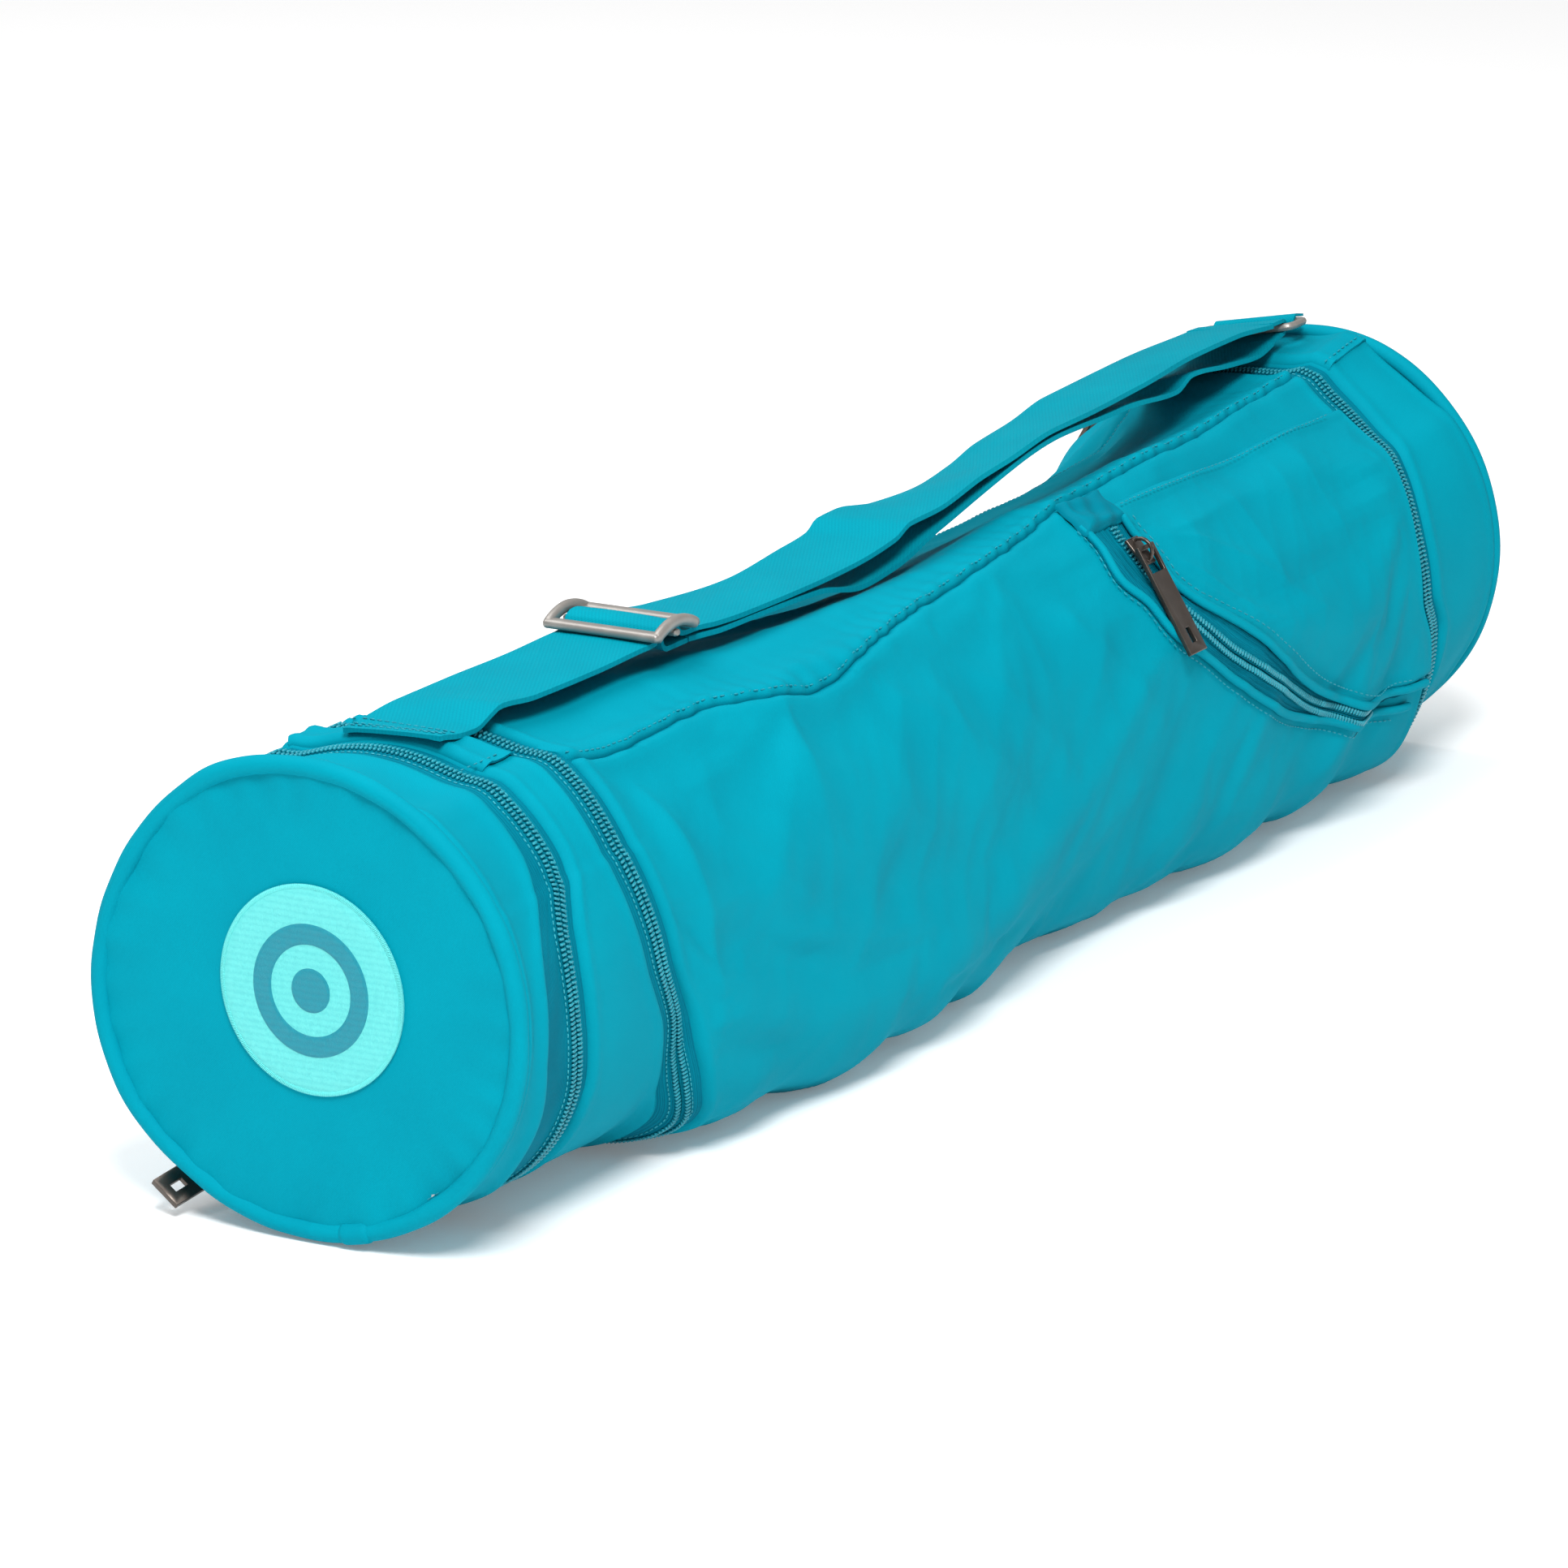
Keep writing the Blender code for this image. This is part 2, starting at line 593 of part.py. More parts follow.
def make_buckle():
    """The three-bar adjuster, the sewn loop round its middle bar and the web woven over it."""
    lower, upper = strap_levels()
    bottom = upper + WEB_THICKNESS / 2 + GAP
    top = bottom + BUCKLE_THICKNESS
    half_length, half_width = BUCKLE_LENGTH / 2, BUCKLE_WIDTH / 2
    frame = box("tri_glide", (BUCKLE_X - half_length, -half_width, bottom),
                (BUCKLE_X + half_length, half_width, top), BUCKLE_METAL)
    for side in (-1, 1):
        near = BUCKLE_X + side * BUCKLE_BAR / 2
        far = BUCKLE_X + side * (half_length - BUCKLE_BAR)
        low = (min(near, far), BUCKLE_RAIL - half_width, bottom - BUCKLE_THICKNESS)
        high = (max(near, far), half_width - BUCKLE_RAIL, top + BUCKLE_THICKNESS)
        slot = box(f"slot_{'near' if side < 0 else 'far'}", low, high, BUCKLE_METAL, CUTTERS)
        combine(frame, slot, "DIFFERENCE")
    middle = (bottom + top) / 2
    loop_x = BUCKLE_BAR / 2 + GAP + LOOP_THICKNESS / 2
    loop_z = BUCKLE_THICKNESS / 2 + GAP + LOOP_THICKNESS / 2
    corners = [(-loop_x, -loop_z), (loop_x, -loop_z), (loop_x, loop_z), (-loop_x, loop_z)]
    half_web = (WEB_WIDTH - LOOP_NARROWER) / 2
    rows = [[(BUCKLE_X + x, y, middle + z) for x, z in corners] for y in (-half_web, half_web)]
    loop = skin_grid("strap_sewn_loop", rows, WEBBING, closed=True)
    thicken(loop, LOOP_THICKNESS, offset=0.0)
    over_x = loop_x + LOOP_THICKNESS / 2 + GAP + WEB_THICKNESS / 2
    over_z = middle + loop_z + LOOP_THICKNESS / 2 + GAP + WEB_THICKNESS / 2
    shoulder = top + LOOP_THICKNESS + 2 * GAP
    profile = [(-half_length, upper), (-half_length + 0.0030, upper), (-over_x - 0.0012, upper + 0.0006),
               (-over_x - 0.0002, middle), (-over_x - 0.0001, shoulder), (-over_x + 0.0009, over_z + 0.0001),
               (0, over_z + 0.0001)]
    profile += [(-x, z) for x, z in reversed(profile[:-1])]
    stations = [(BUCKLE_X + x, 0, z, 0) for x, z in profile]
    ribbon("strap_through_buckle", stations, WEB_WIDTH, WEB_THICKNESS, WEBBING)


def make_ring():
    """The far ring, rolled with the panel that it lies on, and the tab that holds it."""
    centre, roll = ring_place()
    half_x = RING_LENGTH / 2 - RING_WIRE
    half_y = WEB_WIDTH / 2 + RING_SIDE
    route = []
    for sx, sy, start in ((1, 1, 0), (-1, 1, 90), (-1, -1, 180), (1, -1, 270)):
        for step in range(4):
            turn = math.radians(start + 30 * step)
            x = sx * (half_x - RING_CORNER) + RING_CORNER * math.cos(turn)
            y = sy * (half_y - RING_CORNER) + RING_CORNER * math.sin(turn)
            route.append(centre + roll @ Vector((x, y, 0)))
    tube_through("strap_ring", route, RING_WIRE, BUCKLE_METAL, cyclic=True)
    bar_x = centre.x + half_x
    clear = RING_WIRE + GAP + TAB_THICKNESS / 2
    end_x = LENGTH - 2 * PIPING_RADIUS - 2 * GAP
    turns = [math.radians(a) for a in (90, 125, 160, 200, 235, 270)]
    profile = [(end_x, clear * TAB_PINCH), (bar_x + RING_CORNER, clear)]
    profile += [(bar_x + clear * math.cos(t), clear * math.sin(t)) for t in turns]
    profile += [(bar_x + RING_CORNER, -clear), (end_x, -clear * TAB_PINCH)]
    across = (-TAB_WEB_WIDTH / 2, 0, TAB_WEB_WIDTH / 2)
    rows = [[centre + roll @ Vector((x - centre.x, y, z)) for y in across] for x, z in profile]
    thicken(skin_grid("ring_tab", rows, WEBBING), TAB_THICKNESS, offset=0.0)


def ring_place():
    """The ring's centre, and the turn about X that lays it on the panel."""
    radius = END_RADIUS + RING_LIFT
    angle = math.asin(RING_Y / radius)
    centre = Vector((RING_X, RING_Y, AXIS_HEIGHT + radius * math.cos(angle)))
    return centre, Matrix.Rotation(math.radians(RING_ROLL), 3, "X")


def make_strap():
    """The strap's stretches: sewn end, up to the buckle, on to the ring, and back under itself."""
    lower, upper = strap_levels()
    lid_top = AXIS_HEIGHT + EXTENSION_ZIP_RADIUS + GAP + WEB_THICKNESS / 2
    hinge_x = LID_HOOP.point(0).x
    ribbon("strap_end", [(STRAP_END_X, 0, lid_top, 0), (hinge_x - GAP, 0, lid_top, 0)],
           WEB_WIDTH, WEB_THICKNESS, WEBBING)
    buckle_near = BUCKLE_X - BUCKLE_LENGTH / 2 - GAP
    buckle_far = BUCKLE_X + BUCKLE_LENGTH / 2 + GAP
    rise = [(hinge_x + GAP, 0, lid_top, 0), (0.110, 0, upper - 0.0008, 0), (0.150, 0, upper + 0.0004, 0),
            (buckle_near, 0, upper, 0)]
    ribbon("strap_near", smooth_path(rise, 4), WEB_WIDTH, WEB_THICKNESS, WEBBING)
    centre, roll = ring_place()
    bar = centre + Vector((RING_WIRE - RING_LENGTH / 2, 0, 0))
    clear = RING_WIRE + GAP + WEB_THICKNESS / 2
    up = roll @ Vector((0, 0, 1))
    over, front, under = bar + up * clear, bar + Vector((clear, 0, 0)), bar - up * clear
    upper_route = [(buckle_far, 0, upper, 0), (0.2600, 0.0010, upper + 0.0004, 0),
                   (0.3200, 0.0035, upper + 0.0008, -1), (0.3700, 0.0060, 0.1670, -3),
                   (0.4300, 0.0080, 0.1725, -5), (0.5100, 0.0105, 0.1775, -8), (0.5800, 0.0130, 0.1785, -10),
                   (0.6400, 0.0150, 0.1735, -11)]
    upper_route = smooth_path(upper_route + [(*over, RING_ROLL)], 4)
    upper_route += [(*(bar + up * clear * math.cos(t) + Vector((clear * math.sin(t), 0, 0))), RING_ROLL)
                    for t in (math.radians(a) for a in (30, 60, 90, 120, 150))]
    ribbon("strap_upper", upper_route, WEB_WIDTH, WEB_THICKNESS, WEBBING)
    seat = lower + WEB_THICKNESS / 2
    lower_route = [(BUCKLE_X - 0.0020, 0, seat - GAP / 2, 0), (BUCKLE_X + 0.0020, 0, seat - GAP / 2, 0),
                   (BUCKLE_X + 0.0075, 0, lower, 0), (0.2600, 0.0010, lower, 0),
                   (0.3200, 0.0035, lower + 0.0002, -1), (0.3700, 0.0060, lower + 0.0015, -3),
                   (0.4300, 0.0080, 0.1675, -5), (0.5100, 0.0105, 0.1722, -8), (0.5800, 0.0130, 0.1715, -10),
                   (0.6400, 0.0150, 0.1670, -11)]
    last = under - Vector((STRAP_LAP, 0, 0))
    lower_route = smooth_path(lower_route + [(*last, RING_ROLL)], 4)
    ribbon("strap_lower", lower_route, WEB_WIDTH, WEB_THICKNESS, WEBBING)


def attach(obj, parent):
    """Hangs an object and its cutters from a parent, leaving them where they are."""
    obj.parent = parent
    obj.matrix_parent_inverse = parent.matrix_world.inverted()
    for modifier in obj.modifiers:
        if modifier.type == "BOOLEAN":
            attach(modifier.object, parent)


def joint_empty(name, place, parent, carried):
    """An empty on a joint's axis that carries the pieces whose names start with one of these words."""
    empty = bpy.data.objects.new(name, None)
    empty.empty_display_size = SLIDER_LENGTH
    BAG.objects.link(empty)
    empty.location = place
    bpy.context.view_layer.update()
    if parent:
        attach(empty, parent)
    for obj in list(BAG.objects):
        if obj.type != "EMPTY" and not obj.parent and obj.name.startswith(carried):
            attach(obj, empty)
    return empty


def hang_slider(prefix, hoop, parent):
    """A slider turns with its zip's hoop, about the bag, and its pull swings on the slider's pin."""
    pin = bpy.data.objects[f"{prefix}_pull"].matrix_world.translation.copy()
    travel = joint_empty(f"{prefix}_zip_travel", hoop.centre(), parent, (f"{prefix}_slider",))
    joint_empty(f"{prefix}_pull_swing", pin, travel, (f"{prefix}_pull",))


def hang_pieces():
    """The tree of joints, from the pieces that move most up to the bag itself."""
    bpy.context.view_layer.update()
    root = joint_empty("bag_root", (0, 0, 0), None, ("bag_root",))
    near_lid = joint_empty("near_lid_hinge", LID_HOOP.point(0), root, ("bag_root",))
    far_lid = joint_empty("far_lid_hinge", FAR_HOOP.point(0), root, ("bag_root",))
    hang_slider("extension", EXTENSION_HOOP, near_lid)
    hang_slider("lid", LID_HOOP, root)
    hang_slider("far", FAR_HOOP, root)
    hang_slider("pocket", Hoop(POCKET_CURVE[0][0], CHEST_RADIUS), root)
    centre, _ = ring_place()
    ring_bar = centre + Vector((RING_LENGTH / 2 - RING_WIRE, 0, 0))
    joint_empty("strap_ring_hinge", ring_bar, far_lid, ("strap_ring",))
    adjuster = ("tri_glide", "strap_sewn_loop", "strap_through_buckle")
    joint_empty("adjuster_slide", (BUCKLE_X, 0, AXIS_HEIGHT + WAIST_RADIUS), root, adjuster)
    near_cap = ("near_", "embroidered_patch", "extension_zip_tape_cap", "extension_zip_coil_cap")
    joint_empty("near_cap_slide", EXTENSION_HOOP.centre(), near_lid, near_cap)
    lid = ("lid_band", "lid_panel", "lid_zip_tape_lid", "lid_zip_coil_lid", "extension_", "strap_end")
    far = ("far_disc", "far_board", "far_lining", "far_piping", "far_band", "far_panel",
           "far_zip_tape_lid", "far_zip_coil_lid", "ring_tab")
    for parent, names in ((near_lid, lid), (far_lid, far), (root, ("",))):
        for obj in list(BAG.objects):
            if obj.type != "EMPTY" and not obj.parent and obj.name.startswith(names):
                attach(obj, parent)
    root.location.x -= LENGTH / 2


make_near_cap()
make_near_lid()
make_main_body()
make_far_lid()
make_pocket()
make_sliders()
make_buckle()
make_ring()
make_strap()
hang_pieces()
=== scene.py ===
"""Soft mat bag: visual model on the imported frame.

The bag lies along +X on a pale floor. Angles round it are in degrees from the top, growing towards -Y, and
lengths along it are measured from the near end, in metres.
"""
from __future__ import annotations

import json
import logging
import math
from collections.abc import Callable, Sequence
from dataclasses import dataclass
from enum import Enum

import bmesh
import bpy
import numpy as np
from mathutils import Matrix, Vector

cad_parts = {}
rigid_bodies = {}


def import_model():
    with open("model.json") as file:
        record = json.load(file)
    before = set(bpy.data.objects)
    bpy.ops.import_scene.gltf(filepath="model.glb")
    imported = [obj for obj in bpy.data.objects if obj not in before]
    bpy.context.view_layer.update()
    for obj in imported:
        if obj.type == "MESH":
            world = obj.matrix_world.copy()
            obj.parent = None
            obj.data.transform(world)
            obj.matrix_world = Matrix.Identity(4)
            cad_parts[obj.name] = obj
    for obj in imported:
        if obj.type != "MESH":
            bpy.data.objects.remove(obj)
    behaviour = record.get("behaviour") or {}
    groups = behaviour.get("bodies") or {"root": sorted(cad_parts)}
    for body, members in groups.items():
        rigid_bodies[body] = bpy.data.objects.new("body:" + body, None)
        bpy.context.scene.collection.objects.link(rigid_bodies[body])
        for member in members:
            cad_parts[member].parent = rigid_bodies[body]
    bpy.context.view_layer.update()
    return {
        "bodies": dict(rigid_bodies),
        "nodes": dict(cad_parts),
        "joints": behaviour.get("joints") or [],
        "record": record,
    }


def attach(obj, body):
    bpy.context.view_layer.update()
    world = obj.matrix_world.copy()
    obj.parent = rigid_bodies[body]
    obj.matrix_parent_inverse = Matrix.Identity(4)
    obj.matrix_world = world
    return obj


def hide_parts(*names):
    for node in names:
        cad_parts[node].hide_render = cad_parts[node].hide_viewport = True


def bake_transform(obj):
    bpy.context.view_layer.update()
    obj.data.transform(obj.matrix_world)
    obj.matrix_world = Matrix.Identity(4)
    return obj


Array = np.ndarray
Stations = tuple[tuple[float, float], ...]
Color = tuple[float, float, float]
LOG = logging.getLogger("mat_bag")
CLOTH_MAP = "cloth"


class Socket:
    """One output of a shader graph, with the arithmetic that Math nodes give."""

    def __init__(self, graph: Graph, output: bpy.types.NodeSocket) -> None:
        """Keeps the graph and the output that this socket stands for."""
        self.graph = graph
        self.output = output

    def _math(self, operation: str, first: object, second: object, clamp: bool = False) -> Socket:
        """Adds one Math node.

        Args:
            operation: The Math node's operation.
            first: The first value or socket.
            second: The second value or socket.
            clamp: Whether the result stays between 0 and 1.

        Returns:
            The node's output.
        """
        settings = {"operation": operation, "use_clamp": clamp}
        return self.graph.node("ShaderNodeMath", settings, {0: first, 1: second})

    def __add__(self, other: object) -> Socket:
        """This plus other."""
        return self._math("ADD", self, other)

    def __radd__(self, other: object) -> Socket:
        """Other plus this."""
        return self._math("ADD", other, self)

    def __sub__(self, other: object) -> Socket:
        """This minus other."""
        return self._math("SUBTRACT", self, other)

    def __rsub__(self, other: object) -> Socket:
        """Other minus this."""
        return self._math("SUBTRACT", other, self)

    def __mul__(self, other: object) -> Socket:
        """This times other."""
        return self._math("MULTIPLY", self, other)

    def __rmul__(self, other: object) -> Socket:
        """Other times this."""
        return self._math("MULTIPLY", other, self)

    def sine(self) -> Socket:
        """The sine of this, in radians."""
        return self._math("SINE", self, 0.0)

    def absolute(self) -> Socket:
        """This without its sign."""
        return self._math("ABSOLUTE", self, 0.0)

    def clamped(self) -> Socket:
        """This held between 0 and 1."""
        return self._math("ADD", self, 0.0, clamp=True)


class Graph:
    """A material's node tree, built by calls."""

    def __init__(self, name: str) -> None:
        """Makes an empty node material with this name."""
        self.material = bpy.data.materials.new(name)
        self.material.use_nodes = True
        self.tree = self.material.node_tree
        self.tree.nodes.clear()

    def node(self, kind: str, settings: dict[str, object], inputs: dict[object, object],
             output: object = 0) -> Socket:
        """Adds a node.

        Args:
            kind: The node's Blender type.
            settings: Its properties.
            inputs: Values or sockets, by input name or number.
            output: The output that the result stands for.

        Returns:
            The chosen output.
        """
        made = self.tree.nodes.new(kind)
        for key, value in settings.items():
            setattr(made, key, value)
        for key, value in inputs.items():
            self._feed(made.inputs[key], value)
        return Socket(self, made.outputs[output])

    def _feed(self, slot: bpy.types.NodeSocket, value: object) -> None:
        """Links a socket to an input, or sets its value."""
        if isinstance(value, Socket):
            self.tree.links.new(value.output, slot)
        elif slot.type == "RGBA":
            slot.default_value = (*value, 1.0)
        else:
            slot.default_value = value

    def mix(self, share: object, first: object, second: object) -> Socket:
        """A colour between two colours.

        Args:
            share: How much of the second colour.
            first: The colour at 0.
            second: The colour at 1.

        Returns:
            The mixed colour.
        """
        made = self.tree.nodes.new("ShaderNodeMix")
        made.data_type = "RGBA"
        slots = [slot for slot in made.inputs if slot.enabled]
        for slot, value in zip(slots, (share, first, second)):
            self._feed(slot, value)
        return Socket(self, [slot for slot in made.outputs if slot.enabled][0])

    def place(self, mapped: bool) -> Socket:
        """Positions in metres: along and across the cloth, or in the object's own space."""
        if mapped:
            return self.node("ShaderNodeUVMap", {"uv_map": CLOTH_MAP}, {})
        return self.node("ShaderNodeTexCoord", {}, {}, "Object")

    def noise(self, where: Socket, scale: float, detail: float = 2.0) -> Socket:
        """Smooth noise between 0 and 1, with this many features to the metre."""
        inputs = {"Vector": where, "Scale": scale, "Detail": detail}
        return self.node("ShaderNodeTexNoise", {}, inputs)

    def bump(self, height: Socket, strength: float, depth: float) -> Socket:
        """A bumped normal from a height of 0 to 1 that stands this deep, in metres."""
        inputs = {"Strength": strength, "Distance": depth, "Height": height}
        return self.node("ShaderNodeBump", {}, inputs)

    def shade(self, inputs: dict[str, object]) -> bpy.types.Material:
        """Adds the shader and the output.

        Args:
            inputs: The Principled shader's values or sockets.

        Returns:
            The finished material.
        """
        shader = self.node("ShaderNodeBsdfPrincipled", {}, inputs)
        self.node_output(shader)
        return self.material

    def node_output(self, shader: Socket) -> None:
        """Links the shader to the material's output."""
        made = self.tree.nodes.new("ShaderNodeOutputMaterial")
        self.tree.links.new(shader.output, made.inputs["Surface"])


class Weave(Enum):
    """How a cloth's surface is built up."""

    PLAIN = "plain"
    RIBBED = "ribbed"
    WEBBING = "webbing"


@dataclass(frozen=True)
class ClothFinish:
    """A woven cloth: its colours, its weave's pitch in metres and how matt it is."""

    name: str
    color: Color
    shade: Color
    weave: Weave = Weave.PLAIN
    pitch: float = 0.0008
    depth: float = 0.00012
    roughness: float = 0.72
    sheen: float = 0.0
    mapped: bool = True

    def build(self) -> bpy.types.Material:
        """Makes the material."""
        graph = Graph(self.name)
        where = graph.place(self.mapped)
        parts = graph.node("ShaderNodeSeparateXYZ", {}, {0: where}, 0)
        across = parts
        along = Socket(graph, parts.output.node.outputs[1])
        turn = 2 * math.pi / self.pitch
        if self.weave is Weave.PLAIN:
            threads = ((across * turn).sine() * (along * turn).sine()) * 0.5 + 0.5
        elif self.weave is Weave.RIBBED:
            threads = (across * turn).sine().absolute()
        else:
            slant = (along * turn * 0.5 + across * turn).sine()
            threads = (slant * (along * turn).sine()) * 0.5 + 0.5
        grain = graph.noise(where, 1.1 / self.pitch, 1.0)
        drift = graph.noise(where, 28.0, 3.0)
        height = threads * 0.6 + grain * 0.4
        mottled = ((drift * 1.5 - 0.35) + (grain * 0.25)).clamped()
        # For ribbed and webbing cloth the colour also follows the threads' height: painted shade in the
        # grooves between threads and painted highlight on their crowns, on top of the random mottle.
        if self.weave is Weave.PLAIN:
            tone = mottled
        else:
            tone = (mottled * 0.6 + threads * 0.5).clamped()
        color = graph.mix(tone, self.shade, self.color)
        rough = (drift * 0.12) + (self.roughness - 0.06)
        return graph.shade({
            "Base Color": color, "Roughness": rough, "Normal": graph.bump(height, 0.45, self.depth),
            "Sheen Weight": self.sheen, "Sheen Roughness": 0.5, "Sheen Tint": self.color,
            "Specular IOR Level": 0.03,
        })


@dataclass(frozen=True)
class ThreadFinish:
    """Embroidery or sewing thread laid side by side."""

    name: str
    color: Color
    shade: Color
    pitch: float = 0.0007
    roughness: float = 0.5
    mapped: bool = True

    def build(self) -> bpy.types.Material:
        """Makes the material."""
        graph = Graph(self.name)
        where = graph.place(self.mapped)
        parts = graph.node("ShaderNodeSeparateXYZ", {}, {0: where}, 0)
        along = Socket(graph, parts.output.node.outputs[1])
        turn = 2 * math.pi / self.pitch
        wander = graph.noise(where, 900.0, 1.0)
        strands = (parts * turn + wander * 5.0).sine().absolute()
        rows = (along * (turn * 0.16) + wander * 3.0).sine().absolute()
        ends = graph.noise(where, 420.0, 2.0)
        height = strands * 0.55 + rows * 0.25 + ends * 0.4
        # The colour follows the threads' height: painted shade where the strands lie low between each other,
        # with random variation from the ends noise.
        color = graph.mix((height * 0.95 - 0.05).clamped(), self.shade, self.color)
        return graph.shade({
            "Base Color": color, "Roughness": (ends * 0.2) + (self.roughness - 0.1),
            "Normal": graph.bump(height, 0.7, 0.0003), "Sheen Weight": 0.3,
            "Sheen Tint": self.color, "Specular IOR Level": 0.45,
        })


@dataclass(frozen=True)
class MetalFinish:
    """Plated or lacquered metal with faint wear."""

    name: str
    color: Color
    worn: Color
    roughness: float
    metallic: float = 0.85
    coat: float = 0.0

    def build(self) -> bpy.types.Material:
        """Makes the material."""
        graph = Graph(self.name)
        where = graph.place(False)
        wear = graph.noise(where, 160.0, 4.0)
        grain = graph.noise(where, 2200.0, 2.0)
        worn = (wear * 2.6 - 1.2).clamped()
        color = graph.mix(worn * 0.6, self.color, self.worn)
        rough = (grain * 0.14) + (wear * 0.12) + (self.roughness - 0.13)
        return graph.shade({
            "Base Color": color, "Metallic": self.metallic, "Roughness": rough,
            "Normal": graph.bump(grain, 0.25, 0.00006), "Coat Weight": self.coat, "Coat Roughness": 0.3,
        })


@dataclass(frozen=True)
class PlasticFinish:
    """Nylon or moulded board with a soft gloss."""

    name: str
    color: Color
    shade: Color
    roughness: float = 0.42

    def build(self) -> bpy.types.Material:
        """Makes the material."""
        graph = Graph(self.name)
        where = graph.place(False)
        drift = graph.noise(where, 90.0, 3.0)
        grain = graph.noise(where, 1600.0, 2.0)
        return graph.shade({
            "Base Color": graph.mix(drift, self.shade, self.color),
            "Roughness": (grain * 0.15) + (self.roughness - 0.07),
            "Normal": graph.bump(grain, 0.2, 0.00008), "Specular IOR Level": 0.5,
        })


@dataclass(frozen=True)
class FloorFinish:
    """A plain pale studio floor."""

    name: str = "studio_floor"
    color: Color = (0.93, 0.93, 0.93)

    def build(self) -> bpy.types.Material:
        """Makes the material."""
        graph = Graph(self.name)
        drift = graph.noise(graph.place(False), 3.0, 2.0)
        color = graph.mix(drift * 0.3, self.color, (0.95, 0.95, 0.95))
        return graph.shade({"Base Color": color, "Roughness": 0.9, "Specular IOR Level": 0.1,
                            "Emission Color": self.color, "Emission Strength": 0.15})


class Palette:
    """The bag's finished materials by the part of it that they dress."""

    def __init__(self) -> None:
        """Builds every finish once."""
        teal, deep = (0.0, 0.275, 0.365), (0.0, 0.235, 0.32)
        self.cloth = ClothFinish("bag_cloth", teal, deep).build()
        self.tape = ClothFinish("zip_tape_cloth", (0.0, 0.20, 0.28), (0.0, 0.085, 0.14), Weave.RIBBED,
                                0.0016, 0.0004, 0.8).build()
        self.webbing = ClothFinish("strap_webbing", (0.0, 0.285, 0.37), (0.0, 0.205, 0.28), Weave.WEBBING,
                                   0.0014, 0.0003, 0.7).build()
        self.lining = ClothFinish("bag_lining", (0.0, 0.195, 0.27), (0.0, 0.155, 0.225), depth=0.00008,
                                  roughness=0.6).build()
        self.board_lining = ClothFinish("bag_lining_unmapped", (0.0, 0.195, 0.27), (0.0, 0.155, 0.225),
                                        roughness=0.6, mapped=False).build()
        self.patch = ThreadFinish("aqua_embroidery", (0.155, 0.73, 0.70), (0.04, 0.47, 0.50)).build()
        self.motif = ThreadFinish("teal_embroidery", (0.0, 0.27, 0.35), (0.0, 0.17, 0.24)).build()
        self.thread = ThreadFinish("seam_thread", (0.0, 0.31, 0.39), (0.0, 0.19, 0.27), mapped=False).build()
        self.pale_thread = ThreadFinish("pale_seam_thread", (0.03, 0.42, 0.50), (0.0, 0.25, 0.33),
                                        mapped=False).build()
        self.coil = PlasticFinish("zip_coil_nylon", (0.01, 0.34, 0.42), (0.0, 0.19, 0.26)).build()
        self.board = PlasticFinish("end_board_grey", (0.52, 0.53, 0.53), (0.42, 0.43, 0.43), 0.6).build()
        self.grey = MetalFinish("buckle_plating", (0.30, 0.28, 0.26), (0.42, 0.40, 0.37), 0.42, 0.55).build()
        self.gunmetal = MetalFinish("zip_gunmetal", (0.075, 0.06, 0.05), (0.13, 0.105, 0.09), 0.34, 0.8,
                                    0.2).build()
        self.floor = FloorFinish().build()


def smooth_step(value: Array, low: float, high: float) -> Array:
    """Rises smoothly from 0 at low to 1 at high."""
    share = np.clip((np.asarray(value, float) - low) / (high - low), 0.0, 1.0)
    return share * share * (3.0 - 2.0 * share)


def along_stations(stations: Stations, value: Array) -> Array:
    """A value read off a smooth curve through a table of (place, value) stations, with no overshoot.

    Args:
        stations: The table, in rising order of place.
        value: The places to read.

    Returns:
        The values there.
    """
    places, values = np.array(stations).T
    steps = np.diff(places)
    slopes = np.diff(values) / steps
    before, after = slopes[:-1], slopes[1:]
    weigh_before, weigh_after = 2 * steps[1:] + steps[:-1], steps[1:] + 2 * steps[:-1]
    turning = before * after <= 0
    safe_before, safe_after = np.where(turning, 1.0, before), np.where(turning, 1.0, after)
    inner = (weigh_before + weigh_after) / (weigh_before / safe_before + weigh_after / safe_after)
    tangents = np.concatenate([[0.0], np.where(turning, 0.0, inner), [0.0]])
    place = np.clip(np.asarray(value, float), places[0], places[-1])
    index = np.clip(np.searchsorted(places, place, side="right") - 1, 0, len(steps) - 1)
    step = steps[index]
    share = (place - places[index]) / step
    rising = share * share * (3.0 - 2.0 * share)
    leaving = share * (1.0 - share) ** 2 * step * tangents[index]
    arriving = -share * share * (1.0 - share) * step * tangents[index + 1]
    return values[index] * (1.0 - rising) + values[index + 1] * rising + leaving + arriving


def half_turn(deg: Array) -> Array:
    """The same angles between -180 and 180 degrees."""
    return (np.asarray(deg, float) + 180.0) % 360.0 - 180.0


def closed_map(cloth: Array) -> Array:
    """A cloth map whose last column is its first again."""
    return np.concatenate([cloth, cloth[:, :1]], 1)


def unit(vectors: Array) -> Array:
    """Vectors of length one."""
    return vectors / np.maximum(np.linalg.norm(vectors, axis=-1, keepdims=True), 1e-12)


def dress(obj: bpy.types.Object, material: bpy.types.Material) -> bpy.types.Object:
    """Gives a piece this one material."""
    obj.data.materials.clear()
    obj.data.materials.append(material)
    return obj


def soften(mesh: bpy.types.Mesh, sharp_deg: float) -> None:
    """Shades a mesh smooth, with creases where its faces turn by more than this."""
    mesh.polygons.foreach_set("use_smooth", np.ones(len(mesh.polygons), bool))
    mesh.set_sharp_from_angle(angle=math.radians(sharp_deg))


